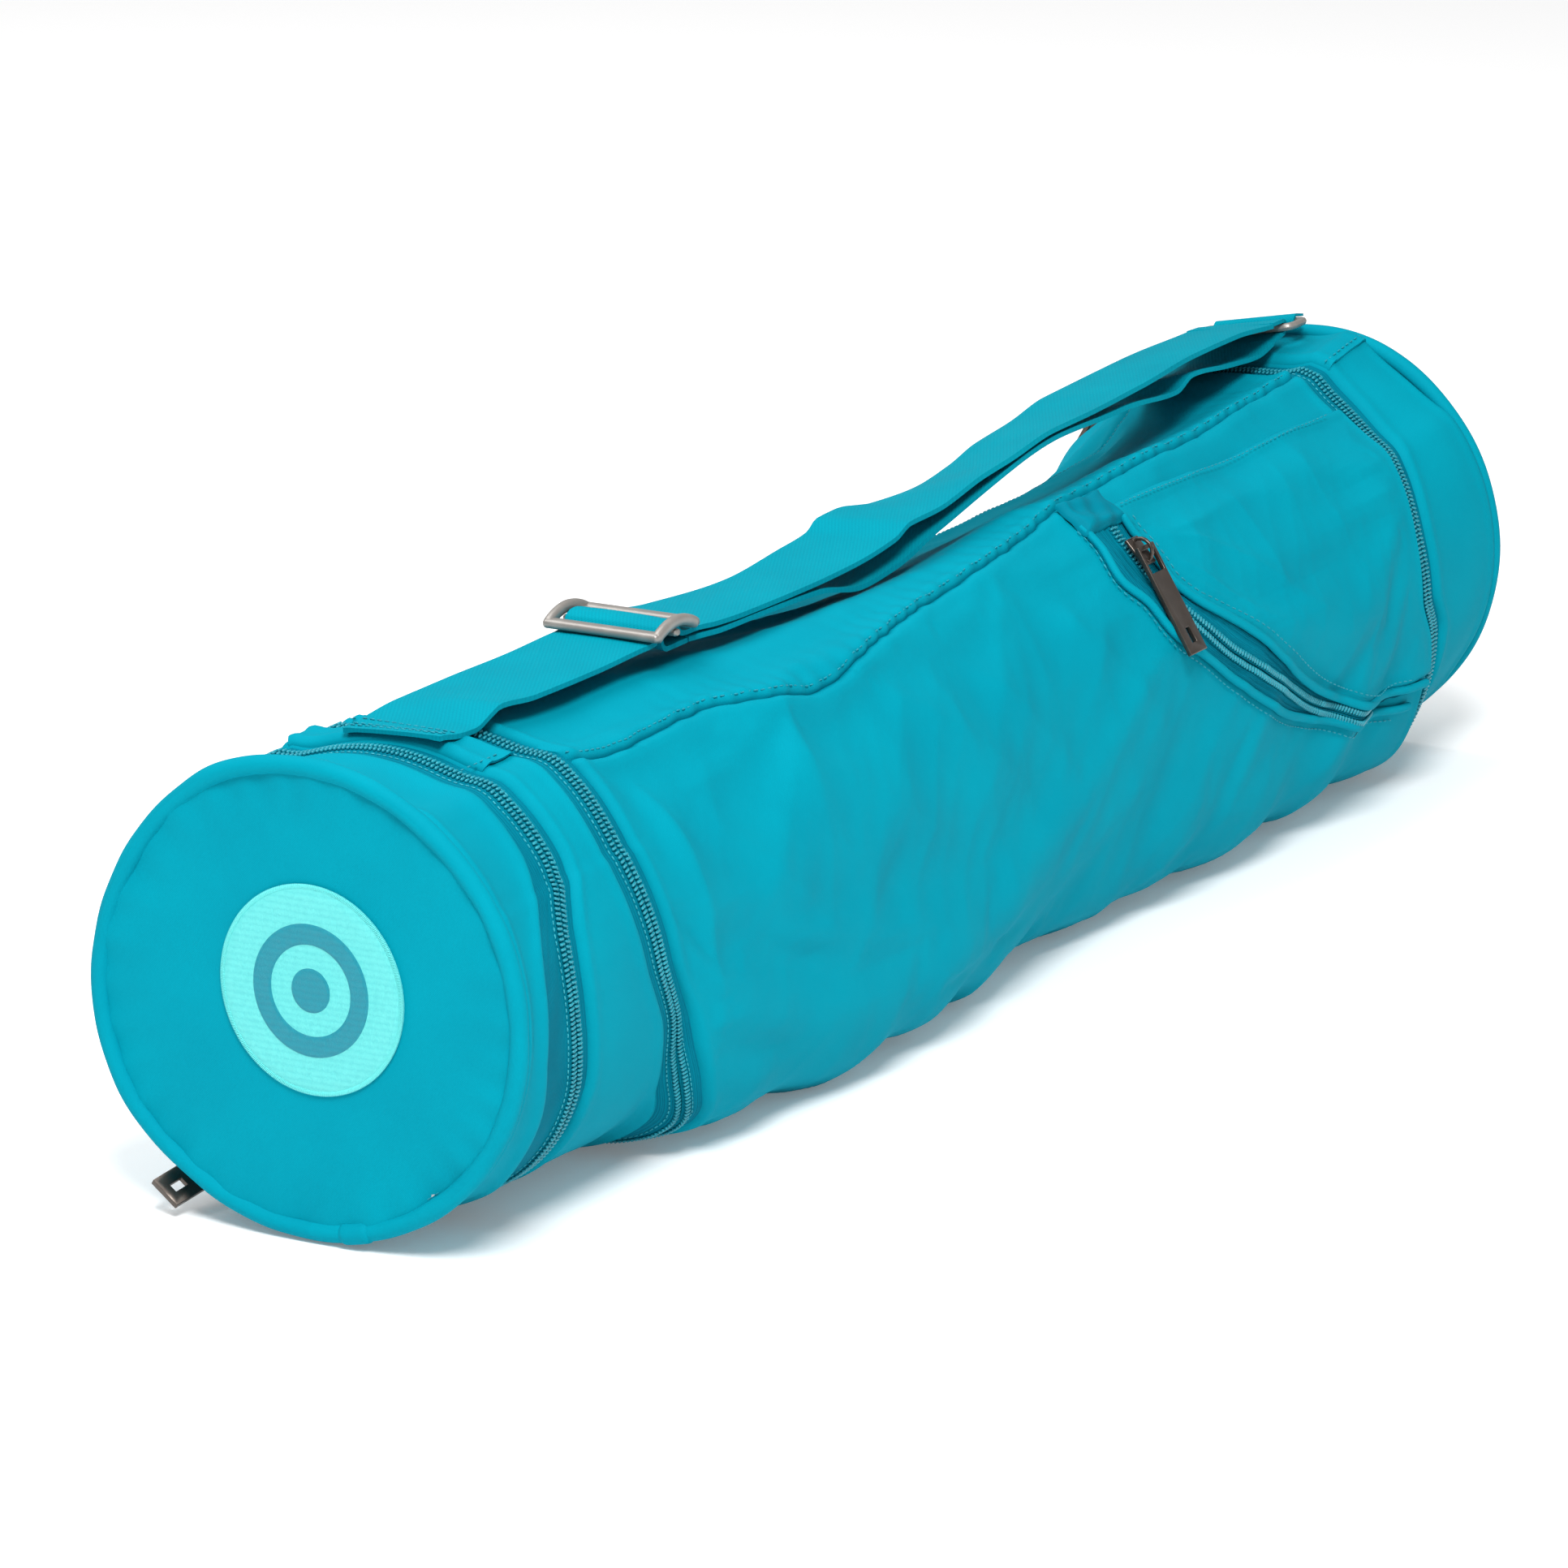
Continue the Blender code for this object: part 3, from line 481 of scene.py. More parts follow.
def make_piece(name: str, points: Array, faces: Sequence[Sequence[int]], finish: bpy.types.Material,
               corners: Array | None = None, sharp_deg: float = 50.0) -> bpy.types.Object:
    """Makes an object of closed mesh.

    Args:
        name: The piece's name.
        points: Its vertices, in metres.
        faces: Its faces.
        finish: Its material.
        corners: The cloth map's place for each face corner, in metres.
        sharp_deg: The turn between faces that stays a crease.

    Returns:
        The linked object.
    """
    mesh = bpy.data.meshes.new(name)
    mesh.from_pydata(np.asarray(points, float).tolist(), [], [list(map(int, face)) for face in faces])
    if corners is not None:
        layer = mesh.uv_layers.new(name=CLOTH_MAP)
        layer.data.foreach_set("uv", np.asarray(corners, np.float32).ravel())
    shell = bmesh.new()
    shell.from_mesh(mesh)
    bmesh.ops.recalc_face_normals(shell, faces=shell.faces)
    shell.to_mesh(mesh)
    shell.free()
    soften(mesh, sharp_deg)
    obj = bpy.data.objects.new(name, mesh)
    bpy.context.scene.collection.objects.link(obj)
    dress(obj, finish)
    LOG.info("made %s with %d faces", name, len(mesh.polygons))
    return obj


def solid_sheet(name: str, outer: Array, inner: Array, cloth: Array, finish: bpy.types.Material,
                wrap: bool = False, capped: bool = False, sharp_deg: float = 50.0) -> bpy.types.Object:
    """Closes two grids of points into one thin solid of cloth.

    Args:
        name: The piece's name.
        outer: The outside's points, rows by columns.
        inner: The inside's points, rows by columns.
        cloth: The cloth map's places; one column more than the points where the sheet wraps.
        finish: Its material.
        wrap: Whether the last column joins the first.
        capped: Whether the first row closes onto its own middle.
        sharp_deg: The turn between faces that stays a crease.

    Returns:
        The object.
    """
    rows, columns = outer.shape[:2]
    spans = columns if wrap else columns - 1
    row, column = (part.ravel() for part in np.meshgrid(np.arange(rows - 1), np.arange(spans), indexing="ij"))
    following = (column + 1) % columns
    width = cloth.shape[1]
    corner_place = cloth.reshape(-1, 2)
    count = rows * columns
    quads = np.stack([row * columns + column, row * columns + following,
                      (row + 1) * columns + following, (row + 1) * columns + column], 1)
    places = np.stack([row * width + column, row * width + column + 1,
                       (row + 1) * width + column + 1, (row + 1) * width + column], 1)
    faces = [quads, quads[:, ::-1] + count]
    corners = [corner_place[places], corner_place[places[:, ::-1]]]
    first, second = np.arange(spans), (np.arange(spans) + 1) % columns
    for edge in ((rows - 1,) if capped else (0, rows - 1)):
        start = edge * columns
        faces.append(np.stack([start + first, start + first + count, start + second + count,
                               start + second], 1))
        at_first, at_second = edge * width + first, edge * width + first + 1
        corners.append(corner_place[np.stack([at_first, at_first, at_second, at_second], 1)])
    if not wrap:
        down = np.arange(rows - 1)
        for edge in (0, columns - 1):
            here, there = down * columns + edge, (down + 1) * columns + edge
            faces.append(np.stack([here, there, there + count, here + count], 1))
            at_here, at_there = down * width + edge, (down + 1) * width + edge
            corners.append(corner_place[np.stack([at_here, at_there, at_there, at_here], 1)])
    points = np.concatenate([outer.reshape(-1, 3), inner.reshape(-1, 3)])
    every_face = [list(face) for face in np.concatenate(faces)]
    every_corner = [np.concatenate(corners).reshape(-1, 2)]
    if capped:
        points = np.concatenate([points, outer[0].mean(0)[None], inner[0].mean(0)[None]])
        middle = cloth[0].mean(0)
        for level, centre in ((0, 2 * count), (count, 2 * count + 1)):
            every_face += [[level + a, level + b, centre] for a, b in zip(first, second)]
            ring = np.stack([cloth[0][first], cloth[0][first + 1], np.tile(middle, (spans, 1))], 1)
            every_corner.append(ring.reshape(-1, 2))
    return make_piece(name, points, every_face, finish, np.concatenate(every_corner), sharp_deg)


@dataclass(frozen=True)
class Bar:
    """The section that is swept along a path: its half sizes in metres and how square it is."""

    half_width: float
    half_height: float
    sides: int = 10
    square: float = 2.0

    def ring(self) -> Array:
        """The section's points as (side, out) pairs."""
        turn = (np.arange(self.sides) + 0.5) * 2 * math.pi / self.sides
        side, out = np.cos(turn), np.sin(turn)
        size = (np.abs(side) ** self.square + np.abs(out) ** self.square) ** (-1.0 / self.square)
        return np.stack([side * size * self.half_width, out * size * self.half_height], 1)


def sweep(name: str, path: Array, outs: Array, bar: Bar, finish: bpy.types.Material, closed: bool = False,
          swell: Array | None = None, sharp_deg: float = 60.0) -> bpy.types.Object:
    """Sweeps a section along a path, with rounded ends where it is open.

    Args:
        name: The piece's name.
        path: The path's points.
        outs: The direction that the section's height takes at each point.
        bar: The section.
        finish: The material.
        closed: Whether the path joins its own start.
        swell: A factor on the section at each point.
        sharp_deg: The turn between faces that stays a crease.

    Returns:
        The object.
    """
    path, outs = np.asarray(path, float), np.asarray(outs, float)
    swell = np.ones(len(path)) if swell is None else np.asarray(swell, float)
    if closed:
        ahead = np.roll(path, -1, 0) - np.roll(path, 1, 0)
    else:
        ahead = np.gradient(path, axis=0)
        steps = np.array([0.25, 0.62, 0.88])
        reach = min(bar.half_width, bar.half_height)
        way = unit(ahead)
        head = path[0] - way[0] * reach * (1.0 - steps)[:, None]
        tail = path[-1] + way[-1] * reach * (1.0 - steps[::-1])[:, None]
        round_off = np.sqrt(1.0 - (1.0 - steps) ** 2)
        path = np.concatenate([head, path, tail])
        swell = np.concatenate([round_off * swell[0], swell, round_off[::-1] * swell[-1]])
        ahead = np.concatenate([np.repeat(ahead[:1], 3, 0), ahead, np.repeat(ahead[-1:], 3, 0)])
        outs = np.concatenate([np.repeat(outs[:1], 3, 0), outs, np.repeat(outs[-1:], 3, 0)])
    ahead = unit(ahead)
    side = unit(np.cross(ahead, outs))
    out = np.cross(side, ahead)
    ring = bar.ring()
    shape = side[:, None] * ring[None, :, :1] + out[:, None] * ring[None, :, 1:]
    points = path[:, None] + shape * swell[:, None, None]
    count, sides = points.shape[:2]
    spans = count if closed else count - 1
    row, column = (part.ravel() for part in np.meshgrid(np.arange(spans), np.arange(sides), indexing="ij"))
    after, beside = (row + 1) % count, (column + 1) % sides
    faces = np.stack([row * sides + column, row * sides + beside, after * sides + beside,
                      after * sides + column], 1)
    gone = np.concatenate([[0.0], np.cumsum(np.linalg.norm(np.diff(path, axis=0), axis=1))])
    gone = np.append(gone, gone[-1] + 0.001)
    girth = 2 * math.pi * bar.half_width / sides
    here, there = column * girth, (column + 1) * girth
    place = np.stack([np.stack(corner, 1) for corner in
                      ((here, gone[row]), (there, gone[row]),
                        (there, gone[row + 1]), (here, gone[row + 1]))], 1)
    every_face = [list(face) for face in faces]
    corners = [place.reshape(-1, 2)]
    if not closed:
        for start in (0, (count - 1) * sides):
            every_face.append(list(range(start, start + sides)))
            corners.append(np.zeros((sides, 2)))
    return make_piece(name, points.reshape(-1, 3), every_face, finish, np.concatenate(corners), sharp_deg)


@dataclass(frozen=True)
class Bead:
    """A small rounded grain, such as a stitch or a coil's turn: its half sizes in metres."""

    half_length: float
    half_width: float
    half_height: float

    def shape(self) -> tuple[Array, list[list[int]]]:
        """The grain's points as (long, side, out) and its faces."""
        turn = np.arange(6) * math.pi / 3
        rings = [(-0.62, 0.86), (0.62, 0.86)]
        points = [(-1.0, 0.0, 0.0)]
        points += [(place, size * math.cos(a), size * math.sin(a)) for place, size in rings for a in turn]
        points.append((1.0, 0.0, 0.0))
        faces = [[0, 1 + (i + 1) % 6, 1 + i] for i in range(6)]
        faces += [[1 + i, 1 + (i + 1) % 6, 7 + (i + 1) % 6, 7 + i] for i in range(6)]
        faces += [[13, 7 + i, 7 + (i + 1) % 6] for i in range(6)]
        return np.array(points) * (self.half_length, self.half_width, self.half_height), faces


def grains(name: str, centres: Array, longs: Array, outs: Array, bead: Bead,
           finish: bpy.types.Material) -> bpy.types.Object:
    """Lays one bead at each centre.

    Args:
        name: The piece's name.
        centres: Where the beads sit.
        longs: The direction of each bead's length.
        outs: The direction of each bead's height.
        bead: The bead.
        finish: The material.

    Returns:
        The object.
    """
    shape, faces = bead.shape()
    long = unit(np.asarray(longs, float))
    side = unit(np.cross(long, outs))
    out = np.cross(side, long)
    points = (centres[:, None] + long[:, None] * shape[None, :, :1] + side[:, None] * shape[None, :, 1:2]
              + out[:, None] * shape[None, :, 2:])
    count = len(shape)
    starts = [index * count for index in range(len(centres))]
    every_face = [[corner + start for corner in face] for start in starts for face in faces]
    return make_piece(name, points.reshape(-1, 3), every_face, finish, None, 80.0)


def evenly(path: Array, pitch: float, closed: bool = False) -> Array:
    """Points this far apart along a path.

    Args:
        path: The path's points.
        pitch: The wanted distance, in metres.
        closed: Whether the path joins its own start.

    Returns:
        The points.
    """
    path = np.concatenate([path, path[:1]]) if closed else path
    gone = np.concatenate([[0.0], np.cumsum(np.linalg.norm(np.diff(path, axis=0), axis=1))])
    count = max(2, int(round(gone[-1] / pitch)))
    marks = np.linspace(0.0, gone[-1], count, endpoint=not closed)
    return np.stack([np.interp(marks, gone, path[:, axis]) for axis in range(3)], 1)


def rounded_copy(node: str, name: str, round_off: float, finish: bpy.types.Material,
                 segments: int = 3) -> bpy.types.Object:
    """A finer copy of a hard CAD node, with its edges rounded.

    Args:
        node: The CAD node.
        name: The new piece's name.
        round_off: The edges' radius, in metres.
        finish: The material.
        segments: How many faces round each edge.

    Returns:
        The new piece, which stands for the node.
    """
    source = bpy.data.objects[node]
    mesh = source.data.copy()
    mesh.name = name
    obj = bpy.data.objects.new(name, mesh)
    bpy.context.scene.collection.objects.link(obj)
    shell = bmesh.new()
    shell.from_mesh(mesh)
    bmesh.ops.remove_doubles(shell, verts=shell.verts, dist=2e-6)
    bmesh.ops.dissolve_limit(shell, angle_limit=math.radians(1.0), verts=shell.verts, edges=shell.edges)
    shell.to_mesh(mesh)
    shell.free()
    bevel = obj.modifiers.new("round_off", "BEVEL")
    bevel.width = round_off
    bevel.segments = segments
    bevel.limit_method = "ANGLE"
    bevel.angle_limit = math.radians(32.0)
    bevel.harden_normals = False
    apply_modifiers(obj)
    soften(obj.data, 45.0)
    dress(obj, finish)
    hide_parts(node)
    return obj


def apply_modifiers(obj: bpy.types.Object) -> None:
    """Turns an object's evaluated mesh into its own."""
    graph = bpy.context.evaluated_depsgraph_get()
    made = bpy.data.meshes.new_from_object(obj.evaluated_get(graph))
    obj.modifiers.clear()
    obj.data = made


def join(name: str, objects: Sequence[bpy.types.Object]) -> bpy.types.Object:
    """Makes several mesh objects into one.

    Args:
        name: The joined piece's name.
        objects: The objects, the first of which stays.

    Returns:
        The joined object.
    """
    with bpy.context.temp_override(active_object=objects[0], selected_editable_objects=list(objects),
                                   selected_objects=list(objects)):
        bpy.ops.object.join()
    objects[0].name = name
    return objects[0]


@dataclass(frozen=True)
class EndRim:
    """An end of the bag, which its board holds nearly round: its middle and half sizes in metres."""

    x: float
    y: float
    z: float
    half_width: float
    half_height: float
    reach: float
    uneven: Stations = ((-180.0, 0.0), (180.0, 0.0))

    def size(self, deg: Array) -> tuple[Array, Array]:
        """Its half sizes at these angles."""
        extra = along_stations(self.uneven, half_turn(deg))
        return self.half_width + extra, self.half_height + extra


@dataclass
class BagForm:
    """The filled bag's slumped body, by the length from its near end and the angle from its top."""

    half_length: float = 0.36
    axis_height: float = 0.079
    radius: Stations = ((0.0, 0.0825), (0.0415, 0.0785), (0.0936, 0.0785), (0.2, 0.0797), (0.5, 0.0805),
                        (0.667, 0.080), (0.72, 0.0835))
    slump: Stations = ((0.0, 0.10), (0.06, 0.10), (0.0936, 0.10), (0.112, 0.06), (0.135, 0.42), (0.16, 0.56),
                       (0.22, 0.73), (0.30, 0.61), (0.36, 0.28), (0.42, 0.30), (0.48, 0.42), (0.54, 0.54),
                       (0.60, 0.42), (0.65, 0.44), (0.69, 0.07), (0.72, 0.01))
    sag: Stations = ((0.0, 0.0), (0.10, 0.0), (0.16, 0.12), (0.22, 0.40), (0.28, 0.75), (0.36, 1.0),
                     (0.48, 1.0), (0.54, 0.97), (0.60, 0.80), (0.635, 0.42), (0.66, 0.0), (0.72, 0.0))
    rise: Stations = ((0.0, 0.0), (0.025, 0.0018), (0.045, 0.0032), (0.085, 0.0034), (0.102, 0.0020),
                      (0.125, 0.0), (0.72, 0.0))
    sag_middle: Stations = ((0.0, -22.0), (0.36, -22.0), (0.45, -28.0), (0.72, -28.0))
    sag_half_deg: float = 44.0
    rims: tuple[EndRim, ...] = (
        EndRim(0.0, -0.0015, 0.0825, 0.0835, 0.0812, 0.045,
               ((-180.0, 0.0), (-150.0, 0.0006), (-122.0, 0.0026), (-100.0, 0.0018), (-82.0, -0.0004),
                (-60.0, -0.0022), (-38.0, -0.0012), (-20.0, 0.0002), (0.0, 0.0), (180.0, 0.0))),
        EndRim(0.72, 0.0, 0.0832, 0.0842, 0.0826, 0.045,
               ((-180.0, 0.0), (-90.0, -0.0010), (-50.0, -0.0036), (-22.0, -0.0040), (0.0, -0.0026),
                (25.0, 0.0), (180.0, 0.0))),
    )

    def __post_init__(self) -> None:
        """Draws the sagging roof's profile once and starts with no settled folds."""
        self.roof_deg = np.linspace(-90.0, 90.0, 721)
        half = math.radians(self.sag_half_deg)
        over = np.radians(self.roof_deg)
        chord = np.where(np.abs(over) < half, math.cos(half) / np.maximum(np.cos(over), 0.2), 1.0)
        kernel = np.hanning(65)
        self.roof = np.convolve(np.pad(chord, 32, mode="edge"), kernel / kernel.sum(), mode="valid")
        self.folds: Drape | None = None

    def reach_at(self, x: Array, deg: Array) -> Array:
        """How far the cloth lies from the bag's axis.

        Args:
            x: Lengths from the near end, in metres.
            deg: Angles from the top, in degrees.

        Returns:
            The distances in metres.
        """
        turn = np.radians(deg)
        side, up = np.abs(np.sin(turn)), np.cos(turn)
        round_size = along_stations(self.radius, x)
        slump = along_stations(self.slump, x)
        low = up < 0
        power = np.where(low, 2.0 + 4.0 * slump, 2.0)
        half_width = round_size + 0.008 * slump
        half_height = np.where(low, self.axis_height, round_size)
        reach = ((side / half_width) ** power + (np.abs(up) / half_height) ** power) ** (-1.0 / power)
        share = along_stations(self.sag, x)
        turned = half_turn(np.asarray(deg, float) - along_stations(self.sag_middle, x))
        roof = np.interp(turned, self.roof_deg, self.roof, left=1.0, right=1.0)
        return reach * (1.0 - share + share * roof)

    def out(self, deg: Array) -> Array:
        """The direction away from the axis at these angles."""
        turn = np.radians(np.asarray(deg, float))
        return np.stack([np.zeros_like(turn), -np.sin(turn), np.cos(turn)], -1)

    def at(self, x: Array, deg: Array, lift: Array | float = 0.0, folded: bool = True) -> Array:
        """Points on the bag.

        Args:
            x: Lengths from the near end, in metres.
            deg: Angles from the top, in degrees.
            lift: How far outside the plain form they lie, in metres.
            folded: Whether they follow the cloth's folds.

        Returns:
            The points, in metres.
        """
        x, deg = np.broadcast_arrays(np.asarray(x, float), np.asarray(deg, float))
        height = self.reach_at(x, deg) + lift
        if folded and self.folds is not None:
            height = height + self.folds.at(x, deg)
        out = self.out(deg)
        points = out * height[..., None]
        points[..., 0] = x - self.half_length
        points[..., 2] += self.axis_height + along_stations(self.rise, x)
        for rim in self.rims:
            share = 1.0 - smooth_step(np.abs(x - rim.x), 0.0, rim.reach)
            extra = height - self.reach_at(x, deg)
            half_width, half_height = rim.size(deg)
            edge = np.stack([x - self.half_length, rim.y + out[..., 1] * half_width,
                             rim.z + out[..., 2] * half_height], -1) + out * extra[..., None]
            points = points * (1.0 - share[..., None]) + edge * share[..., None]
        return points

    def locate(self, points: Array) -> tuple[Array, Array]:
        """The lengths and angles of points in space."""
        x = points[..., 0] + self.half_length
        return x, np.degrees(np.arctan2(-points[..., 1], points[..., 2] - self.axis_height))


@dataclass(frozen=True)
class Crease:
    """A fold along a line from one (length, angle) to another: its half width and height in metres."""

    start: tuple[float, float]
    end: tuple[float, float]
    half_width: float
    height: float


class Drape:
    """The cloth's folds: soft waves, single creases and the settled cloth's own wrinkles."""

    def __init__(self, creases: Sequence[Crease], seed: int = 7, waves: int = 9) -> None:
        """Draws the waves.

        Args:
            creases: The single folds.
            seed: The waves' fixed seed.
            waves: How many waves are added together.
        """
        chance = np.random.default_rng(seed)
        self.creases = tuple(creases)
        self.lengths = chance.uniform(0.07, 0.19, waves)
        self.slants = np.radians(chance.normal(28.0, 26.0, waves))
        self.phases = chance.uniform(0.0, 2 * math.pi, waves)
        self.sizes = 0.0011 * (self.lengths / 0.13) ** 0.9
        self.settled: Array | None = None
        self.x_range = (0.0, 0.72)

    @staticmethod
    def freedom(x: Array, deg: Array) -> Array:
        """How free the cloth is to fold, which seams and zips stop."""
        free = smooth_step(x, 0.108, 0.15) * (1.0 - smooth_step(x, 0.615, 0.652))
        turned = half_turn(deg)
        return free * (0.35 + 0.65 * smooth_step(np.abs(turned), 24.0, 62.0))

    def at(self, x: Array, deg: Array) -> Array:
        """How far the folds push the cloth out.

        Args:
            x: Lengths from the near end.
            deg: Angles from the top.

        Returns:
            The heights in metres.
        """
        turned = half_turn(deg)
        around = np.radians(turned) * 0.08
        total = np.zeros_like(around)
        for length, slant, phase, size in zip(self.lengths, self.slants, self.phases, self.sizes):
            along = (x * math.cos(slant) + around * math.sin(slant)) * 2 * math.pi / length
            wave = np.sin(along + phase + 1.3 * np.sin(around * 23.0 + phase))
            total = total + size * (1.0 - np.abs(wave)) ** 1.5
        scallop = np.cos((x - 0.155) * 2 * math.pi / 0.062 + 0.6 * np.sin(x * 40.0))
        low = smooth_step(turned, 84.0, 112.0) * (1.0 - smooth_step(turned, 138.0, 160.0))
        total = total + low * 0.0012 * scallop
        total = (total - 0.004) * self.freedom(x, deg)
        for crease in self.creases:
            total = total + self._crease(crease, x, around)
        if self.settled is not None:
            total = total + self._settled_at(x, turned)
        return total

    @staticmethod
    def _crease(crease: Crease, x: Array, around: Array) -> Array:
        """The height that one crease adds."""
        start = np.array([crease.start[0], math.radians(crease.start[1]) * 0.08])
        end = np.array([crease.end[0], math.radians(crease.end[1]) * 0.08])
        way = end - start
        length = float(np.hypot(*way))
        share = ((x - start[0]) * way[0] + (around - start[1]) * way[1]) / length ** 2
        aside = ((x - start[0]) * way[1] - (around - start[1]) * way[0]) / length
        taper = smooth_step(share, -0.12, 0.22) * (1.0 - smooth_step(share, 0.7, 1.12))
        sharp = np.exp(-np.abs(aside / crease.half_width) ** 1.4)
        return crease.height * taper * sharp

    def _settled_at(self, x: Array, turned: Array) -> Array:
        """Reads the settled cloth's wrinkles by straight-line filling between its points."""
        rows, columns = self.settled.shape
        u = np.clip((x - self.x_range[0]) / (self.x_range[1] - self.x_range[0]), 0.0, 1.0) * (rows - 1)
        v = (turned / 360.0 * columns) % columns
        row = np.minimum(u.astype(int), rows - 2)
        column = np.floor(v).astype(int) % columns
        after = (column + 1) % columns
        fu, fv = u - row, v - np.floor(v)
        upper = self.settled[row, column] * (1 - fv) + self.settled[row, after] * fv
        lower = self.settled[row + 1, column] * (1 - fv) + self.settled[row + 1, after] * fv
        return upper * (1 - fu) + lower * fu


@dataclass
class ClothSettler:
    """Lets the body's cloth settle: it is cut a little long and twisted, and held at its seams and zips."""

    form: BagForm
    rows: int = 176
    columns: int = 132
    low: float = 0.104
    high: float = 0.652
    spare: float = 0.030
    twist_deg: float = 7.0
    frames: int = 22
    most: float = 0.0048

    def settle(self) -> None:
        """Runs the cloth and keeps its wrinkles in the form."""
        x = np.linspace(self.low, self.high, self.rows)[:, None] + np.zeros(self.columns)[None, :]
        deg = np.linspace(0.0, 360.0, self.columns, endpoint=False)[None, :] + np.zeros((self.rows, 1))
        share = (x - self.low) / (self.high - self.low)
        start = self.form.at(x, deg)
        cut_x = self.low + share * (self.high - self.low) * (1.0 + self.spare)
        cut_deg = deg - self.twist_deg * share
        cut = self.form.out(cut_deg) * (self.form.reach_at(x, deg) * (1.0 + self.spare * 0.8))[..., None]
        cut[..., 0] = cut_x - self.form.half_length
        cut[..., 2] += self.form.axis_height
        obj = self._cloth(start.reshape(-1, 3), cut.reshape(-1, 3), self._held(x, deg).ravel())
        moved = self._run(obj).reshape(start.shape)
        shift = ((moved - start) * self.form.out(deg)).sum(-1)
        shift = self.most * np.tanh(shift / self.most)
        self.form.folds.settled = shift
        self.form.folds.x_range = (self.low, self.high)
        LOG.info("settled the body's cloth by %.4f to %.4f m", shift.min(), shift.max())

    def _held(self, x: Array, deg: Array) -> Array:
        """How firmly each point is held, from 0 to 1."""
        turned = half_turn(deg)
        near = x - along_stations(LID_LINE, turned) - SIDE_TAPE
        far = along_stations(FAR_LINE, turned) - SIDE_TAPE - x
        ends = 1.0 - smooth_step(np.minimum(near, far), 0.002, 0.010)
        front = np.abs(turned - along_stations(PANEL_SEAM, x))
        back = np.abs(turned - BACK_SEAM_DEG)
        seams = 0.75 * (1.0 - smooth_step(np.minimum(front, back), 1.5, 5.0))
        pocket = np.abs(x - along_stations(POCKET_OUTER, turned)) + 0.1 * ((turned < 34.0) | (turned > 117.0))
        edge = 0.7 * (1.0 - smooth_step(pocket, 0.003, 0.010))
        floor = 0.8 * smooth_step(np.abs(turned), 150.0, 165.0)
        return np.maximum.reduce([ends, seams, edge, floor])

    def _cloth(self, start: Array, cut: Array, held: Array) -> bpy.types.Object:
        """Makes the sheet with its cut shape and its pins."""
        index = np.arange(self.rows * self.columns).reshape(self.rows, self.columns)
        beside = np.roll(index, -1, 1)
        faces = np.stack([index[:-1], beside[:-1], beside[1:], index[1:]], -1).reshape(-1, 4)
        mesh = bpy.data.meshes.new("settling_cloth")
        mesh.from_pydata(start.tolist(), [], faces.tolist())
        obj = bpy.data.objects.new("settling_cloth", mesh)
        bpy.context.scene.collection.objects.link(obj)
        obj.shape_key_add(name="sewn")
        key = obj.shape_key_add(name="cut")
        key.data.foreach_set("co", cut.ravel())
        pins = obj.vertex_groups.new(name="held")
        for level in np.unique(np.round(held, 2)):
            if level > 0.0:
                pins.add(np.flatnonzero(np.round(held, 2) == level).tolist(), float(level), "REPLACE")
        return obj

    def _run(self, obj: bpy.types.Object) -> Array:
        """Steps the cloth and takes its points.

        Args:
            obj: The sheet.

        Returns:
            Its settled points.
        """
        cloth = obj.modifiers.new("settle", "CLOTH")
        settings = cloth.settings
        settings.quality = 6
        settings.mass = 0.25
        settings.tension_stiffness = settings.compression_stiffness = 25.0
        settings.shear_stiffness = 12.0
        settings.bending_stiffness = 5.0
        settings.tension_damping = settings.compression_damping = 12.0
        settings.air_damping = 3.0
        settings.vertex_group_mass = "held"
        settings.pin_stiffness = 4.0
        settings.use_pressure = True
        settings.uniform_pressure_force = 0.6
        settings.effector_weights.gravity = 0.12
        settings.rest_shape_key = obj.data.shape_keys.key_blocks["cut"]
        cloth.collision_settings.use_collision = False
        cloth.point_cache.frame_start = 1
        cloth.point_cache.frame_end = self.frames
        scene = bpy.context.scene
        for frame in range(1, self.frames + 1):
            scene.frame_set(frame)
        graph = bpy.context.evaluated_depsgraph_get()
        made = obj.evaluated_get(graph).to_mesh()
        points = np.empty(len(made.vertices) * 3)
        made.vertices.foreach_get("co", points)
        obj.evaluated_get(graph).to_mesh_clear()
        scene.frame_set(1)
        bpy.data.objects.remove(obj)
        return points.reshape(-1, 3)


@dataclass(frozen=True)
class ZipLine:
    """One zip's line on the bag: its place along the bag by angle, and its parts' sizes in metres."""

    name: str
    line: Stations
    low_body: str
    high_body: str
    low_reach: Stations = ((-180.0, 0.0085), (180.0, 0.0085))
    high_reach: Stations = ((-180.0, 0.0085), (180.0, 0.0085))
    coil_offset: float = 0.0018
    coil: Bead = Bead(0.00145, 0.00062, 0.00075)
    pitch: float = 0.0017
    tape_start: float = 0.0003
    turns: tuple[float, float] = (-180.0, 180.0)

    def x_at(self, deg: Array) -> Array:
        """The zip's middle line."""
        turned = half_turn(deg)
        return along_stations(self.line, turned)

    def reach(self, deg: Array, side: int) -> Array:
        """How far the tape shows on one side, -1 for the near side and 1 for the far side."""
        turned = half_turn(deg)
        return along_stations(self.low_reach if side < 0 else self.high_reach, turned)


